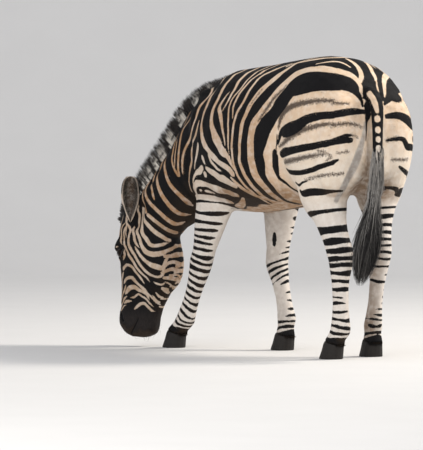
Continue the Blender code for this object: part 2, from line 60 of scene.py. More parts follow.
BESIDE_LEG = 0.15  # well outside a leg, measured from its middle
FORM_REACH, FORM_LEAST = 2.4, 0.003  # radii at which a form has faded out, and the share left there

rng = np.random.default_rng(7)
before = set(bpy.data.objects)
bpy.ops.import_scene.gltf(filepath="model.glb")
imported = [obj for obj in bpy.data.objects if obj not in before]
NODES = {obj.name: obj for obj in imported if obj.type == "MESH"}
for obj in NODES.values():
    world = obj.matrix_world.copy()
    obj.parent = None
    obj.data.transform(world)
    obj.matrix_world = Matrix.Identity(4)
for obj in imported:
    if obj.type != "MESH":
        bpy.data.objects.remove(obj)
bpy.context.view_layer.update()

HEAD_TURN = math.radians(23)
HEAD_TILT = math.radians(4)
AHEAD = np.array([-math.cos(HEAD_TURN), -math.sin(HEAD_TURN), 0])
LEFT = np.array([math.sin(HEAD_TURN), -math.cos(HEAD_TURN), 0])
NOSE = np.array([0, 0, -1]) * math.cos(HEAD_TILT) + AHEAD * math.sin(HEAD_TILT)
BROW = np.cross(NOSE, LEFT)
NECK_LINE = np.array([0.66, 0.27, 0.70])  # from the poll up to the shoulder


def middle_of(node):
    low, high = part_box(node)
    return np.array((low + high) / 2)


EYES = {1: middle_of("eye_left"), -1: middle_of("eye_right")}
EYE_RADIUS = 0.0205
EYE_LONG, EYE_TALL = 0.0185, 0.0125  # half of the opening between the lids
EYE_LOOKS = (0.93, 0.36)  # how far an eye looks to its side and ahead
SLIT_RUNS = (0.86, 0.5)  # how far the slit of the eye runs along the nose and up from the face
FACE_MIDDLE = (EYES[1] + EYES[-1]) / 2
HEAD_LENGTH = 0.575
POLL = FACE_MIDDLE - NOSE * 0.375 * HEAD_LENGTH + BROW * 0.050 * HEAD_LENGTH


# ---- Meshes and arrays ----------------------------------------------------------------------
def numbers_of(items, key, width, kind=np.float32):
    """A value of each item of a mesh, one row for each."""
    found = np.empty(len(items) * width, kind)
    items.foreach_get(key, found)
    return found.reshape(-1, width)


def points_of(mesh):
    return numbers_of(mesh.vertices, "co", 3).astype(float)


def normals_of(mesh):
    return numbers_of(mesh.vertex_normals, "vector", 3).astype(float)


def put_points(mesh, points):
    mesh.vertices.foreach_set("co", np.asarray(points, np.float32).ravel())
    mesh.update()


def put_values(mesh, name, values):
    """A number, or a colour, kept at each vertex under a name."""
    values = np.asarray(values, np.float32)
    if values.ndim == 1:
        mesh.attributes.new(name, "FLOAT", "POINT").data.foreach_set("value", values)
        return
    full = np.ones((len(values), 4), np.float32)
    full[:, :3] = values
    mesh.attributes.new(name, "FLOAT_COLOR", "POINT").data.foreach_set("color", full.ravel())


def put_unwrap(mesh, corners):
    layer = mesh.uv_layers.new(name="OFBake")
    layer.data.foreach_set("uv", np.asarray(corners, np.float32).ravel())


def shaded_smooth(mesh):
    mesh.polygons.foreach_set("use_smooth", np.ones(len(mesh.polygons), bool))
    mesh.update()
    return mesh


def new_mesh(name, points, faces):
    mesh = bpy.data.meshes.new(name)
    mesh.from_pydata(np.asarray(points).tolist(), [], [list(map(int, face)) for face in faces])
    return shaded_smooth(mesh)


def new_object(name, data):
    obj = bpy.data.objects.new(name, data)
    bpy.context.scene.collection.objects.link(obj)
    return obj


def new_piece(name, mesh, material):
    """A piece of the model in its material."""
    obj = new_object(name, mesh)
    mesh.materials.append(material)
    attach(obj, "root")
    return obj


@contextmanager
def edited(mesh):
    """An open copy of the mesh, which is written back to it at the end."""
    shape = bmesh.new()
    shape.from_mesh(mesh)
    yield shape
    shape.to_mesh(mesh)
    shape.free()


def refine(obj, voxel):
    """Rebuilds the object as one closed shell of small even faces."""
    remesh = obj.modifiers.new("fine", "REMESH")
    remesh.mode = "VOXEL"
    remesh.voxel_size = voxel
    graph = bpy.context.evaluated_depsgraph_get()
    mesh = bpy.data.meshes.new_from_object(obj.evaluated_get(graph))
    obj.modifiers.clear()
    obj.data = mesh


def neighbour_mean(mesh):
    """A function that gives the mean of a value over each vertex's neighbours."""
    one, other = numbers_of(mesh.edges, "vertices", 2, np.int32).T
    ends = np.concatenate([one, other])
    starts = np.concatenate([other, one])
    size = len(mesh.vertices)
    count = np.maximum(np.bincount(ends, minlength=size), 1)

    def mean(values):
        total = [np.bincount(ends, values[starts, i], size) for i in range(values.shape[1])]
        return np.stack(total, 1) / count[:, None]

    return mean


def relax(mesh, rounds):
    """Smooths the mesh by turns of shrinking and swelling."""
    points = points_of(mesh)
    mean = neighbour_mean(mesh)
    for turn in range(2 * rounds):
        points += (mean(points) - points) * (REGROW if turn % 2 else SHRINK)
    put_points(mesh, points)


def spread(mesh, values, rounds):
    """The values, one or a row for each vertex, blurred over the mesh."""
    mean = neighbour_mean(mesh)
    rows = np.asarray(values, float).reshape(len(values), -1)
    for _ in range(rounds):
        rows = (1 - BLUR) * rows + BLUR * mean(rows)
    return rows.reshape(np.shape(values))


def rise(value, low, high):
    """0 below low, 1 above high and a smooth rise between."""
    share = np.clip((value - low) / (high - low), 0, 1)
    return share * share * (3 - 2 * share)


def fall(value, low, high):
    """1 below low, 0 above high and a smooth fall between."""
    return 1 - rise(value, low, high)


def unit(vectors):
    return vectors / np.maximum(np.linalg.norm(vectors, axis=-1, keepdims=True), 1e-9)


def flattened(ways, normals):
    """The ways laid along the surface that has these normals."""
    return unit(ways - normals * (ways * normals).sum(1)[:, None])


def interpolated(at, places, rows):
    """Rows of numbers read between the given places."""
    return np.stack([np.interp(at, places, column) for column in np.transpose(rows)], 1)


# ---- The skin -------------------------------------------------------------------------------
def fused_flesh():
    """One closed skin round the solids of flesh, with the eyes' sockets filled."""
    fused = bpy.data.meshes.new("skin")
    with edited(fused) as joined:
        for name in FLESH + ("eye_left", "eye_right"):
            solid = NODES[name].data.copy()
            with edited(solid) as part:
                bmesh.ops.remove_doubles(part, verts=part.verts, dist=1e-5)
                part.normal_update()
                for vertex in part.verts:
                    vertex.co += vertex.normal * OVERLAP
            joined.from_mesh(solid)
    skin = new_object("skin", fused)
    refine(skin, SKIN_VOXEL)
    return skin


def solid_tree(*nodes):
    """A tree of the faces of some solids, and which of the solids owns each face."""
    corners, faces, owner = [], [], []
    for number, name in enumerate(nodes):
        mesh = NODES[name].data
        base = len(corners)
        corners += [vertex.co.copy() for vertex in mesh.vertices]
        faces += [[base + corner for corner in face.vertices] for face in mesh.polygons]
        owner += [number] * len(mesh.polygons)
    return BVHTree.FromPolygons(corners, faces), np.array(owner)


def nearest_flesh(points):
    """The number in FLESH of the solid that lies nearest to each point."""
    tree, owner = solid_tree(*FLESH)
    return np.array([owner[tree.find_nearest(point)[2]] for point in points])


def divide_head(mesh):
    """Splits the faces of the head, which carries the finest forms."""
    top, reach, back = 0.60, 0.2, -0.16  # the region round the face that is split
    centre = Vector(FACE_MIDDLE)
    with edited(mesh) as shape:
        near = {v for v in shape.verts if v.co.z < top and (v.co - centre).to_2d().length < reach
                and (v.co - centre).dot(Vector(AHEAD)) > back}
        edges = [e for e in shape.edges if e.verts[0] in near and e.verts[1] in near]
        bmesh.ops.subdivide_edges(shape, edges=edges, cuts=1, use_grid_fill=True)


# ---- Strokes --------------------------------------------------------------------------------
def curve_through(knots, count_between):
    """Samples of the smooth curve through rows of numbers."""
    knots = np.array(knots, float)
    knots = np.concatenate([[2 * knots[0] - knots[1]], knots, [2 * knots[-1] - knots[-2]]])
    samples = []
    for before, start, end, after in zip(knots, knots[1:], knots[2:], knots[3:]):
        count = count_between(start, end)
        bend = 2 * before - 5 * start + 4 * end - after
        twist = 3 * start - before - 3 * end + after
        for share in np.arange(count) / count:
            samples.append((2 * start + (end - before) * share + bend * share ** 2
                            + twist * share ** 3) / 2)
    return np.array(samples + [knots[-2]])


def smooth_line(stroke):
    """Even samples of the smooth line through the given points, in metres."""
    def count(start, end):
        return max(2, math.ceil(np.linalg.norm((end - start)[:2]) / STROKE_STEP))
    samples = curve_through(np.array(stroke, float) * CM, count)
    samples[:, -1] = np.maximum(samples[:, -1], 0.001)
    return samples


def skin_tree(points, faces, wanted):
    """A tree of the faces whose vertices are all wanted."""
    kept = faces[wanted[faces].all(1)]
    return BVHTree.FromPolygons(points.tolist(), kept.tolist())


def on_head(along, across, ahead):
    return POLL + NOSE * along + LEFT * across + BROW * ahead


VIEWS = {  # how (a, b) of a stroke stands in space, and the way that it is cast onto the skin
    "left": (lambda a, b: (a, -1, b), (0, 1, 0)),
    "right": (lambda a, b: (a, 1, b), (0, -1, 0)),
    "rear": (lambda a, b: (1.2, a, b), (-1, 0, 0)),
    "top": (lambda a, b: (a, b, 2), (0, 0, -1)),
    "cheek_left": (lambda a, b: on_head(a, 0.4, b), -LEFT),
    "cheek_right": (lambda a, b: on_head(a, -0.4, b), LEFT),
    "brow": (lambda a, b: on_head(a, b, 0.4), -BROW),
}
BOTH_SIDES = ("left", "right")
BOTH_CHEEKS = ("cheek_left", "cheek_right")


def cast(tree, strokes, *views, end=1):
    """Points on the skin under the strokes, with half of the stroke's width at each.

    The ends of a stroke are drawn narrower, to a share of their width.
    """
    found = []
    for view in views:
        for stroke in strokes:
            found += cast_stroke(tree, stroke, *VIEWS[view], end)
    return np.array(found).reshape(-1, 4)


def cast_stroke(tree, stroke, place, way, end):
    line = smooth_line(stroke)
    found, count, before = [], len(line), None
    for number, (a, b, width) in enumerate(line):
        hit = tree.ray_cast(place(a, b), way)[0]
        if hit is None:
            continue
        near_end = min(number, count - 1 - number) * STROKE_STEP
        half = width / 2 * (end + (1 - end) * rise(near_end, 0, TAPER_LENGTH))
        if before is not None and (hit - before).length < GAP_FILLED:
            for share in (0.25, 0.5, 0.75):
                found.append((*tree.find_nearest(before.lerp(hit, share))[0], half))
        found.append((*hit, half))
        before = hit
    return found


def point_tree(marks):
    tree = KDTree(len(marks))
    for number, mark in enumerate(marks):
        tree.insert(mark[:3], number)
    tree.balance()
    return tree


def depth_in(points, marks, near=6):
    """How deep each point lies inside the marks, in metres, negative outside them."""
    tree = point_tree(marks)
    depth = np.full(len(points), -FAR)
    for number, point in enumerate(points):
        for place, mark, distance in tree.find_n(point, near):
            depth[number] = max(depth[number], marks[mark, 3] - distance)
    return depth


def mirrored_face(tree, marks):
    """Marks of the face moved to its other side."""
    across = (marks[:, :3] - FACE_MIDDLE) @ LEFT
    twins = marks.copy()
    twins[:, :3] -= 2 * across[:, None] * LEFT
    twins[:, :3] = [tree.find_nearest(point)[0] for point in twins[:, :3]]
    return twins


# ---- The stripes: strokes of (x, z, width) seen from the side, (y, z, width) from behind -----
# A name with LIGHT is of stripes in the dark field, and one with BLACK of stripes on the pale.
BARREL_LIGHT = (
    ((20, 61, 2.5), (18.5, 70, 3.5), (17, 75, 4), (17.2, 85, 3.8), (18.3, 95, 3.8), (22.3, 100, 4.5),
     (27, 105, 5), (31, 110, 4.8), (36, 116.2, 4.2), (41, 118.6, 4), (48, 119.4, 4), (53, 119.2, 3.8),
     (57, 118.6, 3.4)),
    ((15.5, 61, 1.5), (12.5, 70, 2), (10.2, 80, 1.7), (10.7, 85, 1.4), (11.6, 95, 2), (13, 100, 2),
     (15, 105, 2.6), (18.2, 110, 3.2), (24, 116, 3.5), (29, 121.5, 1.5)),
    ((13, 60.5, 1), (10.2, 67.5, 1.3), (7.6, 72.5, 1.3), (6.3, 80, 1.1), (6.1, 90, 1.2), (7, 100, 1.3),
     (9.3, 105, 1.4), (11.5, 115, 1.5), (15.5, 118, 1.5), (24, 121.3, 1)),
    ((5, 98.5, 0.5), (3.7, 105, 1.2), (6, 113, 1.3), (9, 118.3, 1)),
    ((4.3, 83.5, 0.4), (3.5, 90, 1), (3, 95, 1), (0.7, 105, 0.9), (3.2, 110.5, 0.9), (4, 117.3, 1)),
    ((-3, 101.5, 0.5), (-1.7, 105, 1), (-0.9, 110, 1.5), (-2.2, 115, 2), (-2, 118, 2)),
    ((-3.5, 109.3, 0.5), (-5.7, 105, 1.4), (-6, 102.5, 2), (-4, 100, 2.4), (-1.4, 95, 1.8),
     (0.9, 90, 0.9), (1.8, 87, 0.5)),
    ((-11.5, 117, 1.8), (-10.5, 112.5, 1.8), (-9.5, 107.5, 1.7), (-10.5, 102.5, 2), (-10.1, 97.5, 2.3),
     (-7.1, 92.5, 3.2), (-5.5, 90, 4), (-2.6, 87.5, 4.5), (0, 85, 4.8), (3.2, 82.5, 2.6), (6, 77, 0.6)),
    ((-18, 112.3, 1.3), (-17.5, 107.5, 2.2), (-17.7, 102.5, 2.4), (-18.4, 97.5, 1.8),
     (-17.1, 92.5, 2.2), (-16.4, 90, 2.7), (-14.2, 87.5, 3), (-10.7, 85, 2.3), (-8, 82.5, 3),
     (-3.2, 80, 2.2), (2.4, 77.5, 3), (4.2, 75.5, 3)),
    ((-10.5, 83, 1.2), (-9, 80, 1.2), (-5.8, 77.5, 1.5), (-3, 76.5, 0.6)),
    ((-21.5, 97.3, 0.5), (-22.5, 92.5, 1.2), (-24, 90, 1.3), (-29, 85, 1.4), (-30, 80, 1.4),
     (-31.5, 75, 1.8), (-33, 70, 1.6), (-34, 67, 1)),
    ((-20.3, 88, 0.6), (-20.8, 85.5, 2), (-24, 80, 1.3), (-25.5, 77, 0.8)),
)
NECK_LIGHT = (
    ((-27.5, 112, 1), (-24.5, 110.2, 1), (-21.9, 106.6, 1.1), (-24, 102.5, 1.4), (-24.9, 97.5, 1.2),
     (-28, 92.5, 1.2), (-33.5, 85, 1.2), (-35.3, 80, 1.2), (-36, 73.8, 0.6)),
    ((-35.5, 107.5, 1), (-33.4, 102.5, 1), (-34, 97.2, 1), (-37, 93, 1.2), (-37.4, 85, 1.2),
     (-38.2, 75, 1), (-38, 73, 0.6)),
    ((-42, 103.5, 1.2), (-41.5, 96, 1.1), (-42, 89.5, 1), (-42, 83.7, 1), (-41.9, 80, 1),
     (-39.5, 75, 1), (-38.5, 72.8, 0.6)),
    ((-40, 89, 0.7), (-40, 77.5, 0.7)),
    ((-48.5, 96, 1.2), (-48.2, 90, 1.2), (-48.5, 83.5, 1.1), (-48.3, 80, 1.5), (-46, 75, 1.5),
     (-43.6, 70, 1.7), (-39.6, 65, 2), (-37, 61, 2.4)),
    ((-53.5, 88, 1.2), (-54, 83, 1.2), (-54.5, 78, 1.2), (-52.2, 72.5, 1.5), (-49.8, 67.5, 1.7),
     (-46.8, 62.5, 1.9), (-43.6, 58, 2), (-41.7, 57, 1.5), (-39.8, 57, 1.2)),
    ((-57.3, 82, 1), (-57.8, 77, 1), (-57.7, 71.7, 1), (-54.4, 67.5, 1.1), (-53.4, 65, 1.2),
     (-52.3, 62.6, 0.5)),
    ((-60.3, 76.5, 1), (-60.6, 72, 1.1), (-60, 68, 1.1), (-58.2, 65, 1.4), (-56, 62.5, 1.5),
     (-50.5, 57.5, 1.7), (-47, 53.3, 1.9), (-45.4, 53, 1.7), (-43.5, 53.8, 1.3)),
    ((-62.4, 73, 0.9), (-62.3, 69, 0.9), (-61, 65, 1), (-58.9, 60, 1.3), (-57.5, 57.5, 1.5),
     (-52.8, 53.5, 1.7), (-48.5, 49, 1.9)),
)
SHOULDER_LIGHT = (
    ((-18, 77.5, 2.3), (-21, 75.9, 2.8), (-24.7, 74.8, 1.8), (-27, 70.8, 0.8)),
    ((-16.5, 74.7, 2.6), (-16, 74.7, 2.6)),
    ((-13.8, 77.3, 1.8), (-11.5, 76.3, 2.5), (-6, 73.8, 3.5), (-3, 73, 4), (2.5, 70.5, 3)),
    ((-16.8, 82.3, 1.2), (-15.8, 81, 2), (-14.5, 79.3, 0.8)),
    ((-27, 66.5, 1.5), (-26.3, 69, 2.5), (-24, 70.7, 3), (-18, 70.3, 2.5), (-11, 68.5, 3.5),
     (-7, 67.7, 3.8), (-0.5, 66.3, 2.5)),
    ((-23, 67.8, 1), (-22.5, 67.8, 1)),
    ((-20.5, 67.6, 1), (-18, 67.2, 1.3), (-15.3, 66.8, 1.2)),
    ((-29.5, 64.5, 2), (-26, 65, 2.5), (-19.5, 64.6, 2.8), (-14, 63.8, 3), (-9, 63, 2.5)),
    ((-30, 61, 2.4), (-25, 61.2, 2.8), (-18, 61, 2.8), (-13, 60.4, 2)),
    ((2, 65, 1.2), (-3, 62.5, 3), (-8, 61, 4)),
    ((2.6, 73.6, 1.2), (5.3, 70, 2), (9.4, 66.8, 2), (14, 64.6, 1.7), (19, 63.2, 1)),
)
CROUP_LIGHT = (
    ((30, 121.8, 1.2), (36, 122.8, 1.5), (43, 123.7, 1.5), (48, 124, 1.8)),
)
CROUP_TOP_LIGHT = (  # (x, y, width) seen from above
    ((49.5, -1.4, 0.9), (53, -1.9, 1.4), (59.6, -2.9, 1.9), (62.6, -4, 2.1), (64, -5.8, 1.8)),
    ((53, 5.6, 1), (56, 4.8, 1.6), (61.5, 2.7, 1.8), (63.6, 2.6, 1.6), (64.6, 1.9, 0.9)),
)
BACK_LIGHT = (  # (x, y, width) seen from above, on the left side; the right side has the same
    ((24, -12.3, 1.1), (30, -9, 1), (36, -6, 1), (41, -3.6, 0.8), (44, -1.6, 0.4)),
    ((9, -14.3, 1.1), (11.5, -9, 1), (13.3, -5, 0.9), (15, -1.4, 0.5)),
    ((4, -14.8, 1), (5.5, -9, 1), (7, -5, 0.9), (8.8, -1.4, 0.5)),
    ((-2, -13, 1.8), (-1.5, -8, 1.3), (-0.2, -4.5, 1.1), (1.4, -1.4, 0.5)),
    ((-11.5, -12.7, 1.6), (-10.5, -8, 1.3), (-9.2, -4.5, 1.1), (-7.6, -1.4, 0.5)),
    ((-18, -17.3, 1.3), (-18.4, -11, 1.4), (-17, -4, 0.7)),
    ((44, -13, 0.6), (49, -9, 1.2), (53, -7, 1.2), (58, -6.2, 0.7)),
)
HAUNCH_BLACK = (
    ((22.5, 62, 2), (22, 66, 2.5), (22, 70, 3), (21, 75, 3.5), (21.8, 80, 5.5), (22, 85, 5.7),
     (23.8, 90, 7.5), (26, 95, 8.5), (30.3, 100, 7), (36, 105, 7), (41, 111, 8), (46, 111.8, 8),
     (52, 113, 7.6), (58, 113.3, 6.8), (61, 113, 6)),
    ((34.5, 88.5, 1.2), (37, 93, 3), (40, 93.5, 5), (45, 94.5, 6), (50, 96, 5.5), (55, 98.8, 4),
     (60, 100.2, 3.5), (65, 100.6, 3.2)),
    ((33, 85.5, 1.5), (32.3, 84, 3.5), (31, 80, 4), (30.2, 77.5, 3.5), (29.8, 75, 2), (30.8, 72.5, 1.8),
     (34, 67.5, 1.5)),
    ((34, 92, 0.8), (33.5, 85, 0.8)),
    ((36.5, 84, 3), (40, 85, 3.8), (45, 85.7, 3.3), (55, 87.3, 3), (60, 88.2, 2.8), (65, 89.3, 2.7),
     (69, 90.4, 2.6)),
    ((37.5, 77.8, 1.5), (41, 76.8, 2.3), (50, 76.9, 2.3), (60, 79.3, 2.2), (65, 81, 2)),
    ((45, 69, 1.5), (47, 68, 2.7), (52, 68.8, 3.3), (58, 69, 2.8), (62, 69.3, 1.5), (65, 69.5, 0.5)),
    ((42, 72.5, 1), (45, 71.5, 1.2), (48, 72.7, 1), (51, 73.3, 0.6)),
)
REAR_BLACK = (
    ((-17.5, 113.3, 6.4), (-14.5, 113.3, 5.8), (-10.8, 111.8, 4.6), (-8.9, 109.2, 2.8),
     (-8, 106.4, 1.4), (-7.8, 104, 1)),
    ((-20, 101, 3.2), (-15, 101.8, 3.1), (-11, 102, 2.8), (-7.5, 101.8, 1.8)),
    ((-5.4, 109, 2.4), (-5.8, 106, 2.9), (-6.1, 102, 2.8), (-6.2, 98, 2.3), (-6.2, 94, 1.7),
     (-6.4, 90, 0.9)),
    ((-24, 88.6, 2.6), (-20, 90.6, 2.5), (-17, 92, 2), (-14.5, 92.3, 0.8)),
    ((-21, 81.5, 1.8), (-19.5, 82.2, 1)),
    ((16, 112, 6), (12, 111, 5), (7, 108, 4), (3, 105, 1.5)),
    ((3, 99.8, 2), (8, 100.2, 3), (12, 99, 4), (16, 97, 5), (20, 95, 4)),
    ((3, 90, 1), (10, 90.5, 2), (13, 87.5, 3), (16, 87, 3), (20, 86.5, 2.5)),
    ((10, 79, 1.2), (14, 77, 2), (17, 76, 2), (21, 75, 2)),
    ((6, 70.5, 1.5), (11, 70, 2), (16, 68, 3), (20, 67, 2)),
)
REAR_LIGHT = (
    ((-15, 119.2, 3.4), (-12.2, 118.5, 3.3), (-8.5, 116.8, 2.7), (-6.9, 114.5, 2.1), (-6.6, 112.1, 1.6),
     (-7.2, 110.1, 1.3), (-7.5, 107.5, 0.8)),
    ((17, 116.8, 3), (12, 116.6, 3), (8.4, 115.6, 2.7), (6.2, 113.4, 2.1), (5, 110.8, 1.7),
     (4.2, 108, 1.2)),
    ((2.2, 114.2, 0.5), (1.6, 112.8, 0.8), (1.3, 111, 0.8), (1.2, 109.2, 0.5)),
)
# Painted shade: a grey strip, seen from behind, where the left buttock turns away from the light.
BUTTOCK_SHADE_STRIP = (((-7.2, 97.4, 1), (-8.2, 91, 2.2), (-10.6, 84, 3.2), (-12.8, 77, 3.7), (-14.2, 71, 3.4),
                 (-14.8, 65.5, 2)),)
SHADOWS = (
    ((34.5, 95, 1.2), (36, 99, 2.8), (39, 102, 3.8), (44, 103.8, 3.2), (50, 105.2, 2.6),
     (57, 106.3, 2.2), (63, 106.4, 1.8)),
    ((36, 87.5, 1.6), (40, 89, 2.2), (46, 91.5, 2.6), (54, 94.6, 2.4), (62, 96.6, 1.8), (66, 97, 1.4)),
    ((38, 80.8, 2), (42, 81.3, 2.4), (47, 82, 2.2), (57, 83.8, 1.8), (63, 84.6, 1.4)),
    ((50, 73.8, 1), (58, 75.4, 1.2), (66, 76.6, 1.2)),
    ((60, 86, 0.9), (63, 85.4, 1), (65, 83.6, 0.9), (63.5, 82, 0.7)),
    ((22, 98, 1.4), (28, 105.5, 2), (33, 110, 1.8), (34.5, 112.3, 1)),
    ((14.6, 104, 0.6), (18.5, 110.5, 0.6)),
)
REAR_SHADOWS = (
    ((-20, 105.5, 1.5), (-14, 105.2, 1)),
    ((-22, 96.4, 1.6), (-18, 97, 1.6), (-13, 96.8, 1.3), (-9, 95.6, 1)),
    ((-20, 85, 1), (-16, 85.6, 0.8)),
    ((-14.5, 92.5, 1), (-11, 91.3, 0.8)),
    ((6, 82, 1), (14, 82, 1.2)),
    ((3, 90, 1.5), (8, 90.8, 2)),
)
FACE_LIGHT = (
    ((-60.4, 67, 0.8), (-61, 63.5, 1), (-61.3, 60, 1.2), (-59.8, 55, 1.5), (-57.6, 52.4, 1.7),
     (-55.2, 49.8, 1.8), (-52.7, 47.6, 1.7), (-51, 46, 1.4), (-49.5, 45.4, 1)),
    ((-61.6, 64, 0.7), (-62, 61, 0.9), (-62, 57.5, 1), (-61.5, 54.8, 1.1), (-60.2, 51.2, 1.3),
     (-59, 48.2, 1.5), (-57.3, 46, 1.7), (-56, 44.1, 1.6), (-54.2, 43.5, 1.5), (-52.4, 44, 1.4),
     (-51, 44.9, 1.2)),
    ((-63.4, 61.5, 0.6), (-63.8, 59, 0.8), (-63.4, 56, 0.9), (-63.2, 53.2, 1), (-62.1, 50, 1.1),
     (-60.3, 46.4, 1.3), (-59.5, 44.1, 1.4), (-58.4, 42.2, 1.7), (-57.2, 40.8, 2), (-55.3, 40, 2.2),
     (-53.3, 40, 2.2), (-51.5, 40.6, 2), (-50.2, 41.9, 1.4), (-48.5, 43, 1)),
    ((-64.2, 51.7, 0.8), (-63, 48.5, 1.1), (-62.5, 46, 1.2), (-61.6, 44.2, 1), (-60.2, 42.6, 0.5)),
    ((-62.2, 43, 0.6), (-61.2, 41.4, 1), (-59.4, 38.9, 1.3), (-57.4, 36.7, 1.5), (-55.6, 35.3, 2),
     (-53.6, 34.5, 2.4), (-52.3, 34.1, 2), (-51.4, 35, 1.4), (-50.8, 37.3, 1.2), (-50, 38.5, 1)),
    ((-68, 56, 0.8), (-67.3, 53.5, 0.8), (-66, 52, 1), (-64.4, 50, 1), (-64.8, 48, 1), (-65, 45.8, 1.1),
     (-64.7, 43.7, 1.1), (-63.8, 41.6, 1.2), (-62.3, 39.2, 1.2), (-61, 36.5, 1.2), (-59.5, 34, 1.2),
     (-58.2, 32.2, 1.2), (-56.6, 30.8, 1.1), (-54.9, 30.2, 1), (-53.2, 30.5, 1), (-52.2, 31.7, 1.1),
     (-51.8, 33.5, 1.2), (-51, 35.4, 1.3)),
    ((-66.8, 52, 0.8), (-67.8, 49.7, 0.9), (-68, 47.5, 0.8), (-67.3, 45, 0.8), (-66.5, 43, 1),
     (-65.5, 41, 1), (-64.6, 38.8, 1.1), (-63.3, 36.5, 1.1), (-62.2, 34, 1.1), (-60.6, 31.7, 1),
     (-59.2, 30.1, 0.8), (-58, 28, 0.5)),
    ((-67.8, 53, 0.6), (-69.7, 51, 0.8), (-69.6, 48.3, 0.8), (-69, 45.8, 0.8), (-67.8, 43.8, 0.7)),
    ((-67, 41.8, 0.8), (-66.8, 40, 0.9), (-67.4, 38.5, 1), (-68.3, 37.3, 1)),
    ((-71, 42.6, 0.9), (-69.5, 43, 0.9)),
    ((-69.6, 32.7, 1.1), (-68.7, 34, 1.3), (-66, 35.2, 1.2), (-64.2, 34.2, 1.2), (-63.3, 32.3, 1.1),
     (-62, 30.2, 1), (-60.3, 27.2, 0.6)),
    ((-70.5, 27, 1), (-69, 28.6, 1.2), (-67.6, 29.3, 1.3), (-65.2, 29.7, 1.3), (-64, 28, 1.2),
     (-62.6, 26.6, 1), (-60.7, 25, 0.9), (-59.8, 22.9, 0.8), (-59.3, 20.8, 0.5)),
    ((-65.4, 28.8, 0.6), (-63.2, 26.8, 0.6), (-60.9, 24.2, 0.7), (-58.5, 21.5, 0.7), (-57, 18, 0.6),
     (-56.2, 16.5, 0.5)),
    ((-70.4, 22.6, 1.3), (-68.7, 24, 1.8), (-66.8, 25.3, 2), (-64.7, 25.6, 1.9), (-63.2, 24.5, 1.6),
     (-61.4, 23.7, 1.3), (-60.1, 22.4, 1), (-59.4, 20.2, 0.6)),
    ((-67.5, 21, 0.7), (-65.8, 21.3, 0.8), (-63.6, 22.6, 0.8), (-62.3, 21.8, 0.8), (-60.7, 20.7, 0.8),
     (-59.6, 19, 0.7), (-58.6, 17.3, 0.5)),
    ((-71, 18.6, 1), (-69.4, 19.4, 1.2), (-67.2, 19.6, 1)),
    ((-66.2, 16.2, 0.9), (-64.6, 17.4, 1.2), (-63.4, 18.3, 1.3), (-61.7, 18.7, 1.2), (-60.3, 17.2, 1.1),
     (-59.3, 15.6, 1), (-57.8, 13.5, 0.8), (-57, 12.7, 0.7)),
    ((-56.5, 28, 0.6), (-55, 27.1, 0.8), (-53.5, 27, 0.8), (-52.3, 28.1, 0.6)),
    ((-54, 25.3, 1.6), (-53, 24.4, 2), (-52.2, 23.4, 1.4)),
    ((-56.6, 23.4, 0.7), (-56, 21.5, 1), (-54.8, 20.8, 1), (-53.4, 20.7, 0.8)),
    ((-58, 22.3, 0.6), (-57.1, 19.6, 0.9), (-56.2, 18, 0.9), (-55, 17.6, 0.9), (-53.8, 18.3, 0.8),
     (-53, 19.4, 0.6)),
)
JAW_LIGHT = (  # (y, z, width) seen from behind
    ((-18.5, 41.3, 1), (-16, 42.2, 1.1), (-13, 43.2, 1.2), (-9, 43.6, 1.2)),
    ((-15.5, 39.6, 1.4), (-12.5, 39.9, 1.7), (-8, 39.3, 1.6), (-5, 38.8, 1.4)),
    ((-18.5, 34.6, 1), (-17.3, 36.2, 1.3), (-15.2, 36.6, 1.5), (-12.7, 36, 1.5), (-8, 34.8, 1.4)),
    ((-19, 32, 1.1), (-16, 33.6, 1.5), (-12.8, 33, 1.6), (-8, 32.4, 1.5)),
    ((-11.5, 29.8, 0.8), (-9, 31, 0.8), (-7, 31, 0.8)),
    ((-18, 29.8, 1.2), (-15, 29.6, 1.9), (-12.3, 28.8, 1.6), (-10, 27.5, 1)),
    ((-16.8, 27.8, 0.7), (-15, 26.8, 0.7), (-12.5, 24.9, 0.7)),
    ((-17.4, 25.2, 1.4), (-15.5, 24, 1.9), (-14, 23.2, 1.2)),
    ((-16.5, 20.8, 0.9), (-14, 20.6, 0.7)),
    ((-12, 25.6, 1), (-9.5, 26.2, 1.1)),
    ((-14, 17, 0.8), (-12.5, 17.4, 0.8)),
)
BROW_LIGHT = (  # (along, across, width) on the front of the face, on its left half
    ((7, 1.2, 0.6), (13, 1.8, 0.9), (20, 2, 0.9), (27, 1.5, 0.8), (35, 0.8, 0.5)),
    ((6, 3, 0.7), (11, 4.3, 0.9), (17, 4.8, 1), (24, 4.2, 0.9), (31, 2.9, 0.7), (37, 1.8, 0.5)),
    ((5.5, 5.2, 0.6), (10, 6.2, 0.8), (14.5, 6.6, 0.9), (18.5, 6.2, 0.6)),
    ((6.5, 7.6, 0.5), (11, 8.4, 0.6), (15, 8.6, 0.6)),
    ((24.5, 6.9, 0.8), (28, 5.2, 0.8), (33, 3.9, 0.7), (38.5, 2.6, 0.5)),
    ((30, 6.6, 1), (33.5, 5, 0.9), (37, 3.9, 0.8), (41, 2.7, 0.5)),
    ((35.5, 6, 1), (38.5, 4.6, 0.9), (42, 3.2, 0.7), (44.5, 2.2, 0.4)),
    ((40.2, 5.4, 1), (43, 4.2, 0.9), (46, 2.9, 0.6)),
    ((44, 5, 0.8), (46.5, 3.9, 0.7), (48, 3, 0.4)),
)
TAIL_LIGHT = (
    ((-6.6, 112.5, 2.2), (-6.5, 109, 2.4), (-6.2, 105, 2.3), (-6, 102, 1.5)),
    ((-6.1, 99.2, 2.5), (-6.1, 98.8, 2.5)),
    ((-6.1, 94.7, 2.4), (-6.1, 94.3, 2.4)),
    ((-6.1, 90.8, 2.2), (-6.1, 90.4, 2.2)),
    ((-6.1, 87.2, 2.2), (-6.1, 86.6, 2.2)),
    ((-7.8, 84, 1), (-8, 80, 1)),
    ((-4.6, 85, 0.8), (-4.4, 80, 0.8)),
)
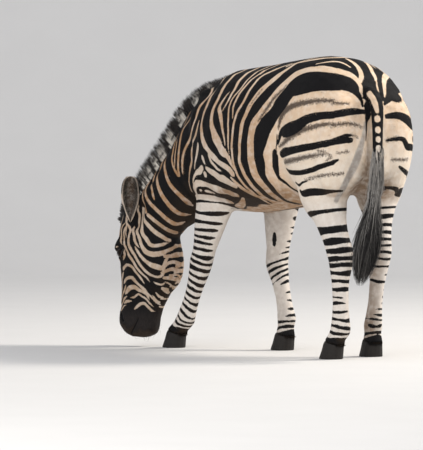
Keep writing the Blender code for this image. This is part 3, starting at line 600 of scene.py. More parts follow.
# Rings round the legs: the height, the width, and the degrees that they reach round from outside.
FORE_LEFT_RINGS = (
    (58.7, 1.8, 98), (54.3, 1.8, 90), (51, 1.4, 84), (48.2, 1.3, 82), (45.7, 1.4, 82), (43, 1.4, 90),
    (40.2, 1.5, 110), (37.6, 1.4, 180), (34.8, 1.8, 180), (31.9, 1.4, 180), (28.9, 1.6, 180),
    (26.1, 1.3, 165), (23.5, 1.2, 150), (20.9, 1.15, 150), (18.4, 1.1, 160), (16, 1, 165),
    (13.6, 1.1, 180), (11, 1.5, 180), (7.4, 3.6, 180),
)
FORE_RIGHT_RINGS = (
    (58.7, 1.8, 88), (55.5, 1.2, 82), (52, 1.2, 82), (49.3, 1.1, 82), (46.2, 1.2, 85), (43.4, 1.2, 92),
    (40.5, 1.3, 115), (37.2, 1.2, 180), (34.6, 1.2, 180), (32, 1.2, 180), (29.4, 1.1, 170),
    (26.8, 1.2, 130), (23.2, 1, 105), (20, 1, 105), (17, 1, 110), (14.5, 1.1, 130), (12.2, 1.2, 180),
    (9.8, 1.4, 180), (6.6, 3.4, 180),
)
HIND_LEFT_RINGS = (
    (60, 1.7, 140), (53, 3, 150), (48.4, 2.6, 150), (44.6, 2.2, 150), (41.4, 2, 160), (38.8, 1.9, 180),
    (35.6, 1.9, 180), (32.3, 1.5, 180), (28.9, 1.7, 150), (25.6, 0.9, 70), (23.2, 1.3, 85),
    (19.6, 1.2, 110), (16.6, 1.3, 150), (13.9, 1.3, 180), (11.2, 1.4, 180), (7.2, 4, 180),
)
HIND_RIGHT_RINGS = (
    (61, 1.2, 160), (57.3, 1.6, 160), (54, 1.3, 160), (51.2, 1.2, 165), (48.6, 1.5, 170), (45.9, 1.1, 170),
    (43.2, 1, 180), (40.8, 1.1, 180), (37.8, 1.1, 180), (34.6, 0.9, 90), (31.6, 1.2, 180), (28, 0.9, 75),
    (25.3, 1, 80), (22.6, 0.9, 85), (20, 1, 120), (17.6, 1, 130), (15.8, 0.9, 175), (9.8, 1.4, 180),
    (6.7, 3.4, 180),
)
# Dark bare spots on the legs: strokes of (height, degrees round from the outer side, width).
FORE_SPOTS = (((49.2, 152, 1.5), (47, 152, 2.2), (44.6, 152, 1.6)),)
HIND_SPOTS = (((13.4, 70, 0.8), (13, 90, 1.7), (12.7, 112, 1.1), (12.9, 138, 1.8), (13.4, 165, 0.9)),)
LEG_MARKS = {FORE_LEFT: (FORE_LEFT_RINGS, FORE_SPOTS), FORE_RIGHT: (FORE_RIGHT_RINGS, FORE_SPOTS),
             HIND_LEFT: (HIND_LEFT_RINGS, HIND_SPOTS), HIND_RIGHT: (HIND_RIGHT_RINGS, HIND_SPOTS)}
SHADED_PITS = (  # the nostril and the mouth's line, darkened with painted shade: (along, ahead, width) on each side of the head
    ((48.4, -1.6, 1), (49.8, -2.6, 1.4), (50.9, -3.9, 1)),
    ((56, -7.4, 0.3), (53.5, -9, 0.35), (51, -10.2, 0.35), (49, -11, 0.3)),
)
# The mane's light bands: the place on the crest and the width.
MANE_LIGHT = ((-23, 107, 2.5), (-30.5, 104.5, 1.6), (-37, 101, 3.5), (-42, 92, 4.5), (-49, 85.5, 4),
              (-54, 80.5, 3.6), (-57, 76, 2.8), (-59.5, 72.5, 2), (-61.5, 70.5, 1.8), (-63, 68.5, 1.6),
              (-65, 66, 1.2))
# The line (x, height) that parts the dark field above it from the pale haunch below.
HAUNCH_TOP = ((21.9, 40), (22, 86), (23.8, 90), (26, 95), (30.3, 100), (36, 105), (41, 111),
              (46, 111.8), (58, 112.7), (63, 111.5), (66, 108.5), (70, 105), (74, 102))
FORE_TOP, HIND_TOP = 0.600, 0.9  # the fore and hind legs are pale below these heights
HAUNCH_FRONT = 0.2195  # where the haunch begins
BELLY_FRONT = -0.14  # where the belly begins
BELLY_EDGE, BELLY_RISE = 0.613, 0.1280  # the height of the belly's pale edge, and its rise backwards
BELLY_LINE, BELLY_MIDDLE = 0.011, 0.009  # half the width and the place of the belly's dark line
BACK_MIDDLE = 0.5  # the y of the back's middle, in centimetres
THIN = 0.4  # the share of their width that the fine stripes keep at their ends
RING_RIPPLE = 0.0016  # how far the rings of the legs swing up and down
KNEE_LEAN = np.array((0.22, 0.28))  # how the rings of the right knee rise across it
MUZZLE_TOP = 0.152  # the height of the dark muzzle's upper edge
EYE_RIM = 1.35  # the reach of the dark rim round the eye, as a share of the opening

# Colours of the light hair, some darkened with painted shade (under the belly, between the hind legs, on
# the inner forelegs), and the grey painted shade of a strip along the edge of the left buttock, where it
# turns away from the light.
PALE = {"rump": (0.80, 0.60, 0.42), "haunch": (0.86, 0.75, 0.62), "leg": (0.78, 0.73, 0.67),
        "neck": (0.42, 0.24, 0.12), "barrel": (0.56, 0.37, 0.23), "face": (0.45, 0.32, 0.22),
        "cheek": (0.56, 0.44, 0.33), "shoulder": (0.68, 0.57, 0.46), "back": (0.82, 0.62, 0.43),
        "belly": (0.33, 0.20, 0.11), "cleft_shade": (0.17, 0.12, 0.085), "throat": (0.26, 0.13, 0.06),
        "tail": (0.62, 0.58, 0.53), "inner": (0.45, 0.42, 0.39)}
SHADE_STRIP_GREY = (0.33, 0.31, 0.29)
MUZZLE_BROWN = (0.060, 0.047, 0.040)  # what the muzzle's hair has beyond the black


# ---- The forms under the coat: (view, height in mm, strokes of (a, b, radius) in cm) ---------
FORMS = (
    ("cheek", 5, ((17.5, -1.6, 1.2), (19.5, 0.2, 1.3), (22, 0.5, 1.2), (24.2, -0.8, 1.1))),
    ("cheek", -5, ((15, -3.2, 1.6), (16.5, -3, 1.4))),
    ("cheek", -24, ((1, -10, 2.2), (5, -9.4, 2.4), (9, -8.8, 2))),
    ("cheek", 3.5, ((11, -7, 1.2), (17, -6.2, 1.2), (22, -6.6, 1.1), (26, -6.4, 1))),
    ("cheek", 3, ((26, -6.4, 0.9), (31, -6, 0.9), (36, -5.6, 0.8))),
    ("cheek", -2.5, ((27, -4, 1.2), (33, -3.6, 1.3), (39, -3.2, 1.2))),
    ("cheek", 4, ((22, -14, 5), (23, -15, 5))),
    ("cheek", -4, ((31, -17.5, 1.2), (32, -19.5, 1.4), (33, -21, 1.4))),
    ("cheek", -2.5, ((30, -9, 1.4), (32, -13, 1.4), (32, -17, 1.4))),
    ("cheek", -5, ((8, -11, 1.6), (12, -16, 1.6), (15, -20, 1.6), (17, -24, 1.5))),
    ("cheek", -3, ((40, -8, 1.2), (45, -9, 1.2), (49, -10, 1))),
    ("cheek", 4, ((49, -2.4, 2.2), (50.5, -3.2, 2.2))),
    ("cheek", 3, ((47.4, -1, 0.8), (49.6, -0.8, 0.8), (51.6, -2.4, 0.8), (52, -4.6, 0.8))),
    ("cheek", -14, ((48.6, -1.8, 0.9), (50, -2.8, 1), (50.8, -3.8, 0.8))),
    ("cheek", -6, ((55.8, -7.6, 0.6), (53.5, -9, 0.6), (51, -10.2, 0.6), (49.4, -10.8, 0.5))),
    ("cheek", 2.5, ((55, -5.6, 1.3), (52.5, -7, 1.3))),
    ("cheek", 2.5, ((55, -10.6, 1.1), (52.5, -12, 1.1))),
    ("cheek", -2.5, ((50, -13.6, 1), (52, -14.4, 1))),
    ("cheek", 4, ((53, -15.2, 1.6), (54, -14.6, 1.6))),
    ("brow", -3, ((28, 0, 1.6), (33, 0, 1.6), (37, 0, 1.4))),
    ("brow", 2.5, ((28, 3.6, 0.9), (36, 3, 0.9), (43, 2.4, 0.9))),
    ("brow", 2.5, ((28, -3.6, 0.9), (36, -3, 0.9), (43, -2.4, 0.9))),
    ("brow", -3, ((55, 0, 0.6), (52, 0, 0.6))),
    ("side", -5, ((-24, 101, 2.4), (-28, 90, 2.4), (-30, 80, 2.2))),
    ("side", 5, ((-26, 76, 4.5), (-25, 71, 4.5))),
    ("side", 3, ((-11, 110, 2.2), (-16, 99, 2), (-20, 89, 1.8))),
    ("side", -5, ((-4, 95, 2.4), (-5, 86, 2.4), (-8, 77, 2.2), (-11, 70, 2))),
    ("side", -6, ((-13, 64, 1.6), (-8, 65, 1.6), (-4, 67.5, 1.8))),
    ("side", 4, ((-14, 69, 3.2), (-12, 66.5, 2.6))),
    ("side", -14, ((-21, 111, 4), (-30, 105.5, 4.5), (-38, 100, 4.5), (-46, 91, 4.2), (-53, 79, 3.6),
                   (-58, 71, 2.6))),
    ("side", -4, ((-38, 74, 1.5), (-36, 68, 1.5), (-33, 63, 1.5))),
    ("side", -6, ((31, 101, 4.5), (33, 95, 4.5))),
    ("side", 5, ((30, 109, 3), (31, 106, 3))),
    ("side", 4, ((22, 64, 1.8), (27, 70, 1.8), (31, 78, 1.8), (33, 86, 2))),
    ("side", -3, ((25, 63.5, 1.6), (30, 69.5, 1.6), (34, 77, 1.6))),
    ("side", 3, ((40, 72, 4), (42, 66, 3.5))),
    ("side", -4, ((60, 103, 1.8), (58, 92, 1.8), (57, 80, 1.7), (57.5, 70, 1.6))),
    ("side", 2, ((50, 100, 6), (51, 92, 6))),
    ("rear", -4, ((-12.5, 78, 1.2), (-11.5, 70, 1.2), (-11, 62, 1.2))),
    ("rear", -4, ((10, 76, 1.2), (9.5, 70, 1.2), (9, 62, 1.2))),
    ("rear", 3, ((-16.5, 90, 3), (-16, 82, 3))),
    ("rear", -20, ((-4.6, 97, 1.6), (-4.6, 90, 2.2), (-4.6, 80, 2.8), (-4.4, 70, 3))),
    ("rear", -4, ((-8.8, 104, 1), (-8.6, 98, 1))), ("rear", -4, ((-0.6, 104, 1), (-0.6, 98, 1))),
)
# Forms of the legs: (height in mm, strokes of (height up the leg, degrees from outside, radius)).
FORE_FORMS = (
    (2.5, ((40, 60, 1.6), (38, 60, 1.6))), (2.5, ((40, -60, 1.6), (38, -60, 1.6))),
    (-2, ((42.5, 0, 1), (42.5, 40, 1))), (3, ((39, 180, 1.5), (37.5, 180, 1.4))),
    (-2.2, ((31, 30, 0.7), (25, 30, 0.7), (18, 28, 0.7))),
    (-2.2, ((31, 150, 0.7), (25, 150, 0.7), (18, 152, 0.7))),
    (2.5, ((14, 90, 1.3), (12.5, 90, 1.3))), (-3, ((52, 20, 1.2), (46, 25, 1))),
)
HIND_FORMS = (
    (-4, ((60, 55, 1.1), (54, 55, 1), (49, 52, 0.9))), (-4, ((60, 125, 1.1), (54, 125, 1), (49, 128, 0.9))),
    (3, ((46.5, 90, 1.3), (48, 90, 1.2))), (2.5, ((41, 0, 1.8), (39, 0, 1.8))),
    (2.5, ((41, 180, 1.8), (39, 180, 1.8))),
    (-2.2, ((33, 40, 0.7), (26, 40, 0.7), (19, 38, 0.7))),
    (-2.2, ((33, 140, 0.7), (26, 140, 0.7), (19, 142, 0.7))),
    (2.5, ((14.5, 90, 1.3), (13, 90, 1.3))),
)
LID = 0.0028  # the thickness of the eyelids
SOCKET = 0.004  # how far the skin is drawn in behind the eyeball's surface

# ---- The unwrap, the hair and the ears ------------------------------------------------------
# Each solid's tile of the unwrap: its left and lower edges, its width and its height.
UNWRAP_TILES = {TRUNK: (0, 0.5, 0.5, 0.5), NECK: (0.5, 0.5, 0.25, 0.5), HEAD: (0.75, 0.5, 0.25, 0.5),
                TAIL: (0, 0, 0.12, 0.5), FORE_LEFT: (0.12, 0, 0.22, 0.5),
                FORE_RIGHT: (0.34, 0, 0.22, 0.5), HIND_LEFT: (0.56, 0, 0.22, 0.5),
                HIND_RIGHT: (0.78, 0, 0.22, 0.5)}
TILE_MARGIN = 0.01  # what stays free along the edges of a tile, as a share of it
TILE_ROUND = 1.06  # the turns that fit into a tile, so that the faces on the seam do too
TILE_SLICES = 23  # the slices of a solid that its middle line is found from
CORNERS = 3  # of a lock's section
OUTSIDE, WITHIN = 0.3, 0.004  # well outside a solid, and a little way into it
TAIL_BLACK = 0.004  # how deep the black lies high up on the tail
TUFT_TOP = 0.675  # the height where the tail's solid gives way to its tuft's
TAIL_END = 0.68  # above this height the strands lie on the tail, and spread along their length
ROOTED = 0.0006  # how deep the tufts of the coat stand in the skin
UNDER_MANE = 0.006  # skin this near to the mane's solid lies under it
MANE_FOOT = 0.020  # how far down the neck's sides the mane is rooted, beyond its solid
CREST = np.array([NECK_LINE[0], NECK_LINE[2]]) / np.hypot(NECK_LINE[0], NECK_LINE[2])
PUPIL = (0.0080, 0.0042)  # half of its length and of its height
HOOF_VOXEL = 0.0025
SIDE_NAMES = {1: "_left", -1: "_right"}
EAR_ROOT = (0.150, 0.108, -0.085)  # along, across and ahead on the head, as shares of its length
EAR_LENGTH = 0.200
EAR_THICK = 0.0060
EAR_FACES = (-0.485, 0.874)  # where the opening looks: ahead and to the side
EAR_ARC = math.radians(112)  # how far the cup reaches round on each side of its back
EAR_STEPS = 22  # points on half of a ring's back
# Share of the length, half width, how far ahead the rim is, depth of the back, depth of the hollow.
EAR = ((0.02, 0.002, 0.026, 0.037, 0.003), (0.08, 0.009, 0.030, 0.041, 0.007),
       (0.14, 0.015, 0.031, 0.043, 0.009), (0.24, 0.024, 0.029, 0.045, 0.010),
       (0.37, 0.033, 0.025, 0.044, 0.012), (0.50, 0.038, 0.020, 0.040, 0.015),
       (0.64, 0.040, 0.010, 0.030, 0.019), (0.80, 0.037, 0.001, 0.018, 0.013),
       (0.91, 0.029, 0.001, 0.011, 0.007), (0.97, 0.018, 0.001, 0.006, 0.003),
       (0.99, 0.009, 0.001, 0.003, 0.001))
BACK_PART, RIM_PART, HOLLOW_PART = range(3)  # the parts of an ear
EAR_RIM, EAR_HOLLOW, EAR_BACK = (0.66, 0.55, 0.44), (0.032, 0.026, 0.021), (0.58, 0.47, 0.37)
EAR_BANDS = ((0.62, 0.93), (0.18, 0.40))  # the dark bands on the back, in shares of the length
PALE_EDGE = 12  # how many points of the hollow, from its edge, are pale


# ---- The sculpted skin ----------------------------------------------------------------------
def outer_side(leg):
    """The way across the body, along Y, that the outside of a leg faces."""
    return -1 if leg in (FORE_LEFT, HIND_LEFT) else 1


def leg_line(points, labels, leg):
    """The middle of one leg at each of LEG_HEIGHTS, a little evened out."""
    own = points[labels == leg]
    middles = []
    for height in LEG_HEIGHTS:
        ring = own[abs(own[:, 2] - height) < LEG_SLICE]
        if len(ring):
            middles.append((ring[:, :2].min(0) + ring[:, :2].max(0)) / 2)
        elif middles:
            middles.append(middles[-1])
        else:
            middles.append(own[own[:, 2].argmin(), :2])
    middles = np.array(middles)
    padded = np.pad(middles, ((2, 2), (0, 0)), mode="edge")
    return sum(padded[i:i + len(middles)] for i in range(5)) / 5


def leg_spot(tree, middles, leg, stroke):
    """Points on the skin of a leg under a stroke of (height, degrees from outside, radius)."""
    found = []
    for height, angle, radius in smooth_line(stroke):
        turn = math.radians(angle / CM)
        way = Vector((math.sin(turn), math.cos(turn) * outer_side(leg), 0))
        middle = [np.interp(height, LEG_HEIGHTS, middles[:, i]) for i in (0, 1)]
        hit = tree.ray_cast(Vector((*middle, height)) + way * BESIDE_LEG, -way)[0]
        if hit:
            found.append((*hit, radius))
    return np.array(found).reshape(-1, 4)


def pressed(points, normals, marks, height):
    """The points raised or sunk round a stroke, within the radius that it has at each place."""
    if not len(marks):
        return points
    tree = point_tree(marks)
    room = FORM_REACH * marks[:, 3].max()
    low, high = marks[:, :3].min(0) - room, marks[:, :3].max(0) + room
    for number in np.flatnonzero(((points > low) & (points < high)).all(1)):
        place, mark, distance = tree.find(points[number])
        share = math.exp(-(distance / marks[mark, 3]) ** 2)
        if share > FORM_LEAST:
            points[number] = points[number] + normals[number] * height * share
    return points


def sculpted(points, normals, faces, labels):
    """The points with the muscles, bones and folds of FORMS pressed into them."""
    body = skin_tree(points, faces, np.isin(labels, (TRUNK, NECK) + LEGS))
    face = skin_tree(points, faces, labels == HEAD)
    trees = {"side": (body, BOTH_SIDES), "rear": (body, ("rear",)),
             "cheek": (face, BOTH_CHEEKS), "brow": (face, ("brow",))}
    work = []
    for kind, height, stroke in FORMS:
        tree, views = trees[kind]
        work += [(cast(tree, (stroke,), view) * (1, 1, 1, 2), height) for view in views]
    for leg in LEGS:
        tree = skin_tree(points, faces, labels == leg)
        middles = leg_line(points, labels, leg)
        forms = FORE_FORMS if leg in (FORE_LEFT, FORE_RIGHT) else HIND_FORMS
        work += [(leg_spot(tree, middles, leg, stroke), height) for height, stroke in forms]
    for marks, height in work:
        points = pressed(points, normals, marks, height / 1000)
    return points


def eye_axes(side):
    """Out of the eye, along its slit and across its slit."""
    outward = unit(LEFT * side * EYE_LOOKS[0] + AHEAD * EYE_LOOKS[1])
    slit = NOSE * SLIT_RUNS[0] + BROW * SLIT_RUNS[1]
    slit = unit(slit - outward * (slit @ outward))
    return outward, slit, np.cross(outward, slit)


def eye_places(points, side, reach, back):
    """Which points lie near an eye, how far off its middle, and where in the opening of its lids.

    Near is within some radii of the middle and not further back than some. The place in the
    opening is 0 in its middle and 1 on its edge.
    """
    outward, slit, across = eye_axes(side)
    off = points - EYES[side]
    near = (np.linalg.norm(off, axis=1) < reach * EYE_RADIUS) & (off @ outward > back * EYE_RADIUS)
    off = off[near]
    return near, off, np.hypot(off @ slit / EYE_LONG, off @ across / EYE_TALL)


def lidded(points):
    """The points near the eyes laid over the eyeballs as lids, and drawn in at the openings."""
    for side, middle in EYES.items():
        near, off, place = eye_places(points, side, 2.2, -0.2)
        gap = np.linalg.norm(off, axis=1)
        lid = EYE_RADIUS + LID * np.clip(2 - place, 0.25, 1)
        radius = np.where(place < 1, EYE_RADIUS - SOCKET, np.maximum(gap, lid))
        points[near] = middle + off * (radius / gap)[:, None]
    return points


# ---- Marks on the skin ----------------------------------------------------------------------
def ring_depth(points, labels, leg, rings):
    """How deep the points of a leg lie inside its rings."""
    middles = leg_line(points, labels, leg)
    own = labels == leg
    place = points[own]
    z = place[:, 2]
    off = place[:, :2] - interpolated(z, LEG_HEIGHTS, middles)
    slope = interpolated(z, LEG_HEIGHTS, np.gradient(middles, LEG_HEIGHTS, axis=0))
    slope = slope * (1 - 0.75 * rise(z, 0.30, 0.50))[:, None]
    turn = np.arctan2(off[:, 0], off[:, 1] * outer_side(leg))
    ripple = np.sin(2 * turn + 71 * z + leg) + 0.35 * np.sin(5 * turn - 113 * z)
    along = z + (off * slope).sum(1) + RING_RIPPLE * ripple
    if leg == FORE_RIGHT:
        along -= off @ KNEE_LEAN * rise(z, 0.22, 0.30) * fall(z, 0.40, 0.45)
    angle = abs(np.degrees(turn))
    best = np.full(len(place), -FAR)
    for height, width, reach in rings:
        taper = np.ones(len(angle)) if reach >= 180 else fall(angle, 0.72 * reach, 1.12 * reach)
        swell = 1 + 0.14 * np.sin(2 * turn + 1.7 * height)
        inside = width * CM / 2 * np.sqrt(taper) * swell - abs(along - height * CM)
        best = np.maximum(best, np.where(taper > 0.05, inside, -FAR))
    depth = np.full(len(points), -FAR)
    depth[own] = best
    return depth


def tail_dark(points):
    """Black high up on the tail, and streaks of black below."""
    x, y, z = points.T
    streaks = 0.0022 * np.sin(520 * y + 3 * np.sin(31 * z)) + 0.0015 * np.sin(900 * x + 23 * z)
    high = rise(z, 0.83, 0.90)
    return TAIL_BLACK * high + streaks * (1 - high)


def dark_field(points, labels):
    """How deep the points lie inside the dark field of the barrel, neck and head."""
    x, y, z = points.T
    places, heights = np.array(HAUNCH_TOP, float).T * CM
    depth = np.where(x > HAUNCH_FRONT, z - np.interp(x, places, heights), FAR)
    under = z - BELLY_EDGE - BELLY_RISE * x + 0.003 * np.sin(70 * x)
    under = np.maximum(under, BELLY_LINE - abs(y - BELLY_MIDDLE))
    depth = np.where((labels == TRUNK) & (x > BELLY_FRONT), np.minimum(depth, under), depth)
    depth = np.where(np.isin(labels, (FORE_LEFT, FORE_RIGHT)), z - FORE_TOP, depth)
    hind = np.isin(labels, (HIND_LEFT, HIND_RIGHT))
    depth = np.where(hind, np.minimum(depth, z - HIND_TOP), depth)
    return np.clip(np.where(labels == TAIL, tail_dark(points), depth), -FAR, FAR)


def light_marks(body, face, tail):
    """Where the light stripes of the dark field run."""
    far_back = tuple(tuple((x, 2 * BACK_MIDDLE - y, width) for x, y, width in stroke)
                     for stroke in BACK_LIGHT)
    on_face = np.concatenate([cast(face, FACE_LIGHT, "left", end=THIN), cast(face, JAW_LIGHT, "rear"),
                              cast(face, BROW_LIGHT, "brow", end=THIN)])
    return np.concatenate([
        cast(body, BARREL_LIGHT + SHOULDER_LIGHT + CROUP_LIGHT, *BOTH_SIDES),
        cast(body, NECK_LIGHT, *BOTH_SIDES, end=THIN),
        cast(body, CROUP_TOP_LIGHT + BACK_LIGHT + far_back, "top"),
        cast(body, REAR_LIGHT, "rear"), on_face, cast(face, NECK_LIGHT[-2:], "left"),
        mirrored_face(face, on_face), cast(tail, TAIL_LIGHT, "rear")])


def stripes(points, faces, labels):
    """How deep each point lies inside the black, and inside the brown shadow stripes."""
    body = skin_tree(points, faces, np.isin(labels, (TRUNK, NECK) + LEGS))
    face = skin_tree(points, faces, labels == HEAD)
    tail = skin_tree(points, faces, labels == TAIL)
    black = np.concatenate([cast(body, HAUNCH_BLACK, *BOTH_SIDES), cast(body, REAR_BLACK, "rear")])
    brown = np.concatenate([cast(body, SHADOWS, *BOTH_SIDES), cast(body, REAR_SHADOWS, "rear")])
    light = depth_in(points, light_marks(body, face, tail))
    black = depth_in(points, black)
    for leg, (rings, spots) in LEG_MARKS.items():
        black = np.maximum(black, ring_depth(points, labels, leg, rings))
        tree = skin_tree(points, faces, labels == leg)
        middles = leg_line(points, labels, leg)
        marks = np.concatenate([leg_spot(tree, middles, leg, spot) for spot in spots])
        black = np.maximum(black, depth_in(points, marks * (1, 1, 1, 0.5)))
    dark = np.minimum(dark_field(points, labels), -light)
    return np.maximum(black, dark), depth_in(points, brown)


def pale_colour(points, normals, labels, mesh):
    """The colour of the light hair at each point."""
    x, y, z = points.T
    down = -normals[:, 2]
    trunk, neck, head, tail = (labels == label for label in (TRUNK, NECK, HEAD, TAIL))
    fore = np.isin(labels, (FORE_LEFT, FORE_RIGHT))
    behind = np.isin(labels, (HIND_LEFT, HIND_RIGHT, TRUNK)) * (x > 0.3)
    colour = np.tile(PALE["barrel"], (len(points), 1))
    for name, amount in (
            ("rump", rise(x, 0.18, 0.30)),
            ("back", rise(z, 1.02, 1.16)),
            ("haunch", rise(x, 0.30, 0.42) * fall(z, 0.78, 1.02)),
            ("shoulder", rise(x, -0.35, -0.2) * fall(x, -0.02, 0.08) * fall(z, 0.82, 0.95)),
            ("neck", fall(x, -0.36, -0.26)),
            # The belly's brown hair, darkened as painted shade: where the skin faces down, and low on the
            # barrel behind the forelegs.
            ("belly", rise(down, 0.25, 0.75) * fall(z, 0.66, 0.74)),
            ("belly", rise(x, -0.13, -0.07) * fall(x, 0.03, 0.10) * fall(z, 0.64, 0.70)),
            ("leg", np.isin(labels, LEGS) * fall(z, 0.56, 0.74)),
            ("face", head),
            ("cheek", head * rise(x, -0.66, -0.60) * fall(x, -0.56, -0.51)),
            ("throat", neck * rise(x, -0.48, -0.38) * fall(z, 0.58, 0.70)),
            ("throat", head * rise(x, -0.53, -0.47) * 0.6),
            ("tail", tail * fall(z, 0.80, 0.95)),
            # Painted shade between the hind legs and in the cleft between the buttocks, beside the tail.
            ("cleft_shade", behind * fall(abs(y), 0.06, 0.13) * fall(z, 0.70, 0.80)),
            ("cleft_shade", trunk * (x > 0.4) * fall(abs(y + 0.045), 0.02, 0.055) * fall(z, 0.76, 0.97)),
            # The greyer fur of the inner forelegs, darkened further with painted shade.
            ("inner", fore * fall(abs(y), 0.08, 0.13) * 0.7)):
        colour += (np.array(PALE[name]) - colour) * np.clip(amount, 0, 1)[:, None]
    return spread(mesh, colour, 6)


def lie_of_coat(points, normals, labels, mesh):
    """The way that the hair lies at each point, along the skin."""
    ways = {TRUNK: (1, 0, -0.35), NECK: NECK_LINE + (0.35, 0.05, -0.45), HEAD: NOSE - 0.25 * AHEAD,
            TAIL: (0, 0, -1)}
    way = np.array([ways.get(label, (0.12, 0, -1)) for label in range(len(FLESH))])[labels]
    way[(labels == TRUNK) & (points[:, 0] > 0.45)] = (0.6, 0, -0.8)
    return flattened(spread(mesh, way, 30), normals)


def unwrapped(points, faces, labels):
    """A flat place for every corner: one tile for each solid, turned round its own line."""
    uv = np.zeros(faces.shape + (2,))
    owner = np.sort(labels[faces], 1)[:, faces.shape[1] // 2]
    lines = {TRUNK: np.array([1.0, 0, 0]), NECK: unit(NECK_LINE), HEAD: NOSE}
    for label, (left, low, wide, tall) in UNWRAP_TILES.items():
        own = owner == label
        place = points[faces[own]]
        flat = place.reshape(-1, 3)
        axis = lines.get(label, np.array([0, 0, 1.0]))
        aside = unit(np.cross(axis, (0.1, 1, 0.05)))
        third = np.cross(axis, aside)
        along = flat @ axis
        ends = np.linspace(along.min(), along.max(), TILE_SLICES + 1)
        spot = np.clip(np.digitize(along, ends), 1, TILE_SLICES)
        middle = [flat[spot == i].mean(0) if (spot == i).any() else flat.mean(0)
                  for i in range(1, TILE_SLICES + 1)]
        off = flat - interpolated(along, (ends[1:] + ends[:-1]) / 2, middle)
        angle = (np.arctan2(off @ third, off @ aside) / math.tau % 1).reshape(place.shape[:2])
        wraps = np.ptp(angle, axis=1) > 0.5
        angle = np.where(wraps[:, None] & (angle < 0.5), angle + 1, angle) / TILE_ROUND
        up = ((along - ends[0]) / (ends[-1] - ends[0])).reshape(place.shape[:2])
        uv[own, :, 0] = left + wide * (TILE_MARGIN + (1 - 2 * TILE_MARGIN) * np.clip(angle, 0, 1))
        uv[own, :, 1] = low + tall * (TILE_MARGIN + (1 - 2 * TILE_MARGIN) * up)
    return uv


# ---- Materials ------------------------------------------------------------------------------
class Paint:
    """A material in the making: its shader, and short ways to add nodes to it."""

    def __init__(self, name, roughness, specular=0.5):
        self.made = bpy.data.materials.new(name)
        self.made.use_nodes = True
        self.tree = self.made.node_tree
        self.shader = self.tree.nodes["Principled BSDF"]
        self.feed(self.shader, {"Roughness": roughness, "Specular IOR Level": specular})

    def feed(self, node, inputs):
        """Sets each named socket of a node to a plain value, or links it to another socket."""
        for key, value in inputs.items():
            if isinstance(value, bpy.types.NodeSocket):
                self.tree.links.new(value, node.inputs[key])
            else:
                node.inputs[key].default_value = value

    def add(self, kind, inputs, **settings):
        """A new node with these settings and inputs."""
        node = self.tree.nodes.new("ShaderNode" + kind)
        for key, value in settings.items():
            setattr(node, key, value)
        self.feed(node, inputs)
        return node

    def mix(self, amount, first, second):
        """A colour mixed from two."""
        first, second = ((*value, 1) if isinstance(value, tuple) else value for value in (first, second))
        return self.add("Mix", {0: amount, 6: first, 7: second}, data_type="RGBA").outputs[2]

    def maths(self, operation, one, other):
        return self.add("Math", {0: one, 1: other}, operation=operation).outputs[0]

    def times(self, one, other):
        return self.maths("MULTIPLY", one, other)

    def span(self, value, low, high):
        """The share of the way from low to high."""
        return self.add("MapRange", {"Value": value, "From Min": low, "From Max": high}).outputs[0]

    def kept(self, name, output="Fac"):
        """What the mesh keeps at its vertices under a name."""
        return self.add("Attribute", {}, attribute_name=name).outputs[output]

    def noise(self, scale, detail=3, along=None, stretch=10):
        """Noise in space, drawn out along a line if one is given."""
        place = self.add("TexCoord", {}).outputs["Object"]
        if along is not None:
            turn = Vector(along).rotation_difference((1, 0, 0)).to_euler()
            place = self.add("Mapping", {"Vector": place, "Rotation": turn}).outputs[0]
            place = self.add("Mapping", {"Vector": place, "Scale": (1 / stretch, 1, 1)}).outputs[0]
        return self.add("TexNoise", {"Vector": place, "Scale": scale, "Detail": detail}).outputs["Fac"]

    def bump(self, height, strength, distance):
        bump = self.add("Bump", {"Height": height, "Strength": strength, "Distance": distance})
        self.feed(self.shader, {"Normal": bump.outputs[0]})

    def coloured(self, colour):
        """The finished material."""
        self.feed(self.shader, {"Base Color": colour})
        return self.made


BLACK_HAIR = (0.006, 0.006, 0.007)
BROWN_HAIR = (0.050, 0.036, 0.029)
KEPT = ("mark", "brown", "pale", "dark", "lie_x")  # what coat_material reads at the vertices


def coat_material():
    """Short striped hair: its marks and light colour are kept at the vertices."""
    paint = Paint("short_coat", 0.68, 0.10)
    rough = paint.maths("SUBTRACT", paint.noise(160, 4), 0.5)
    streaks = paint.mix(paint.kept("lie_x"), paint.noise(420, 2, (0.1, 0, 1), 9),
                        paint.noise(420, 2, (1, 0, -0.3), 9))
    black = paint.span(paint.maths("ADD", paint.kept("mark"), paint.times(rough, 0.5)), -0.10, 0.12)
    shade = paint.span(paint.maths("ADD", paint.kept("brown"), paint.times(rough, 3.2)), -0.45, 0.55)
    frost = paint.maths("SUBTRACT", paint.noise(46, 4), 0.42)
    pale = paint.mix(paint.times(streaks, 0.22), paint.kept("pale", "Color"), (0.30, 0.19, 0.11))
    pale = paint.mix(paint.times(paint.noise(22, 3), 0.20), pale, (0.42, 0.28, 0.17))
    pale = paint.mix(frost, pale, (0.92, 0.88, 0.82))
    pale = paint.mix(paint.times(shade, 0.9), pale, BROWN_HAIR)
    dark = paint.mix(paint.times(streaks, 0.5), BLACK_HAIR, paint.kept("dark", "Color"))
    paint.bump(streaks, 0.5, 0.002)
    return paint.coloured(paint.mix(black, pale, dark))


def hair_material():
    """Long hair of the mane, the tail and the ears, coloured at its vertices."""
    paint = Paint("long_hair", 0.5, 0.35)
    return paint.coloured(paint.mix(paint.times(paint.noise(260, 3), 0.3), paint.kept("tone", "Color"),
                                    (0.05, 0.04, 0.035)))


def horn_material():
    """Smooth dark horn, with growth rings and upright grain."""
    paint = Paint("hoof_horn", 0.6, 0.25)
    rings = paint.noise(120, 3, (1, 0, 0), 0.12)
    colour = paint.mix(rings, (0.006, 0.005, 0.005), (0.020, 0.017, 0.015))
    grain = paint.times(paint.noise(300, 3, (0.3, 0, 1), 14), 0.4)
    paint.bump(rings, 0.4, 0.001)
    return paint.coloured(paint.mix(grain, colour, (0.036, 0.030, 0.025)))


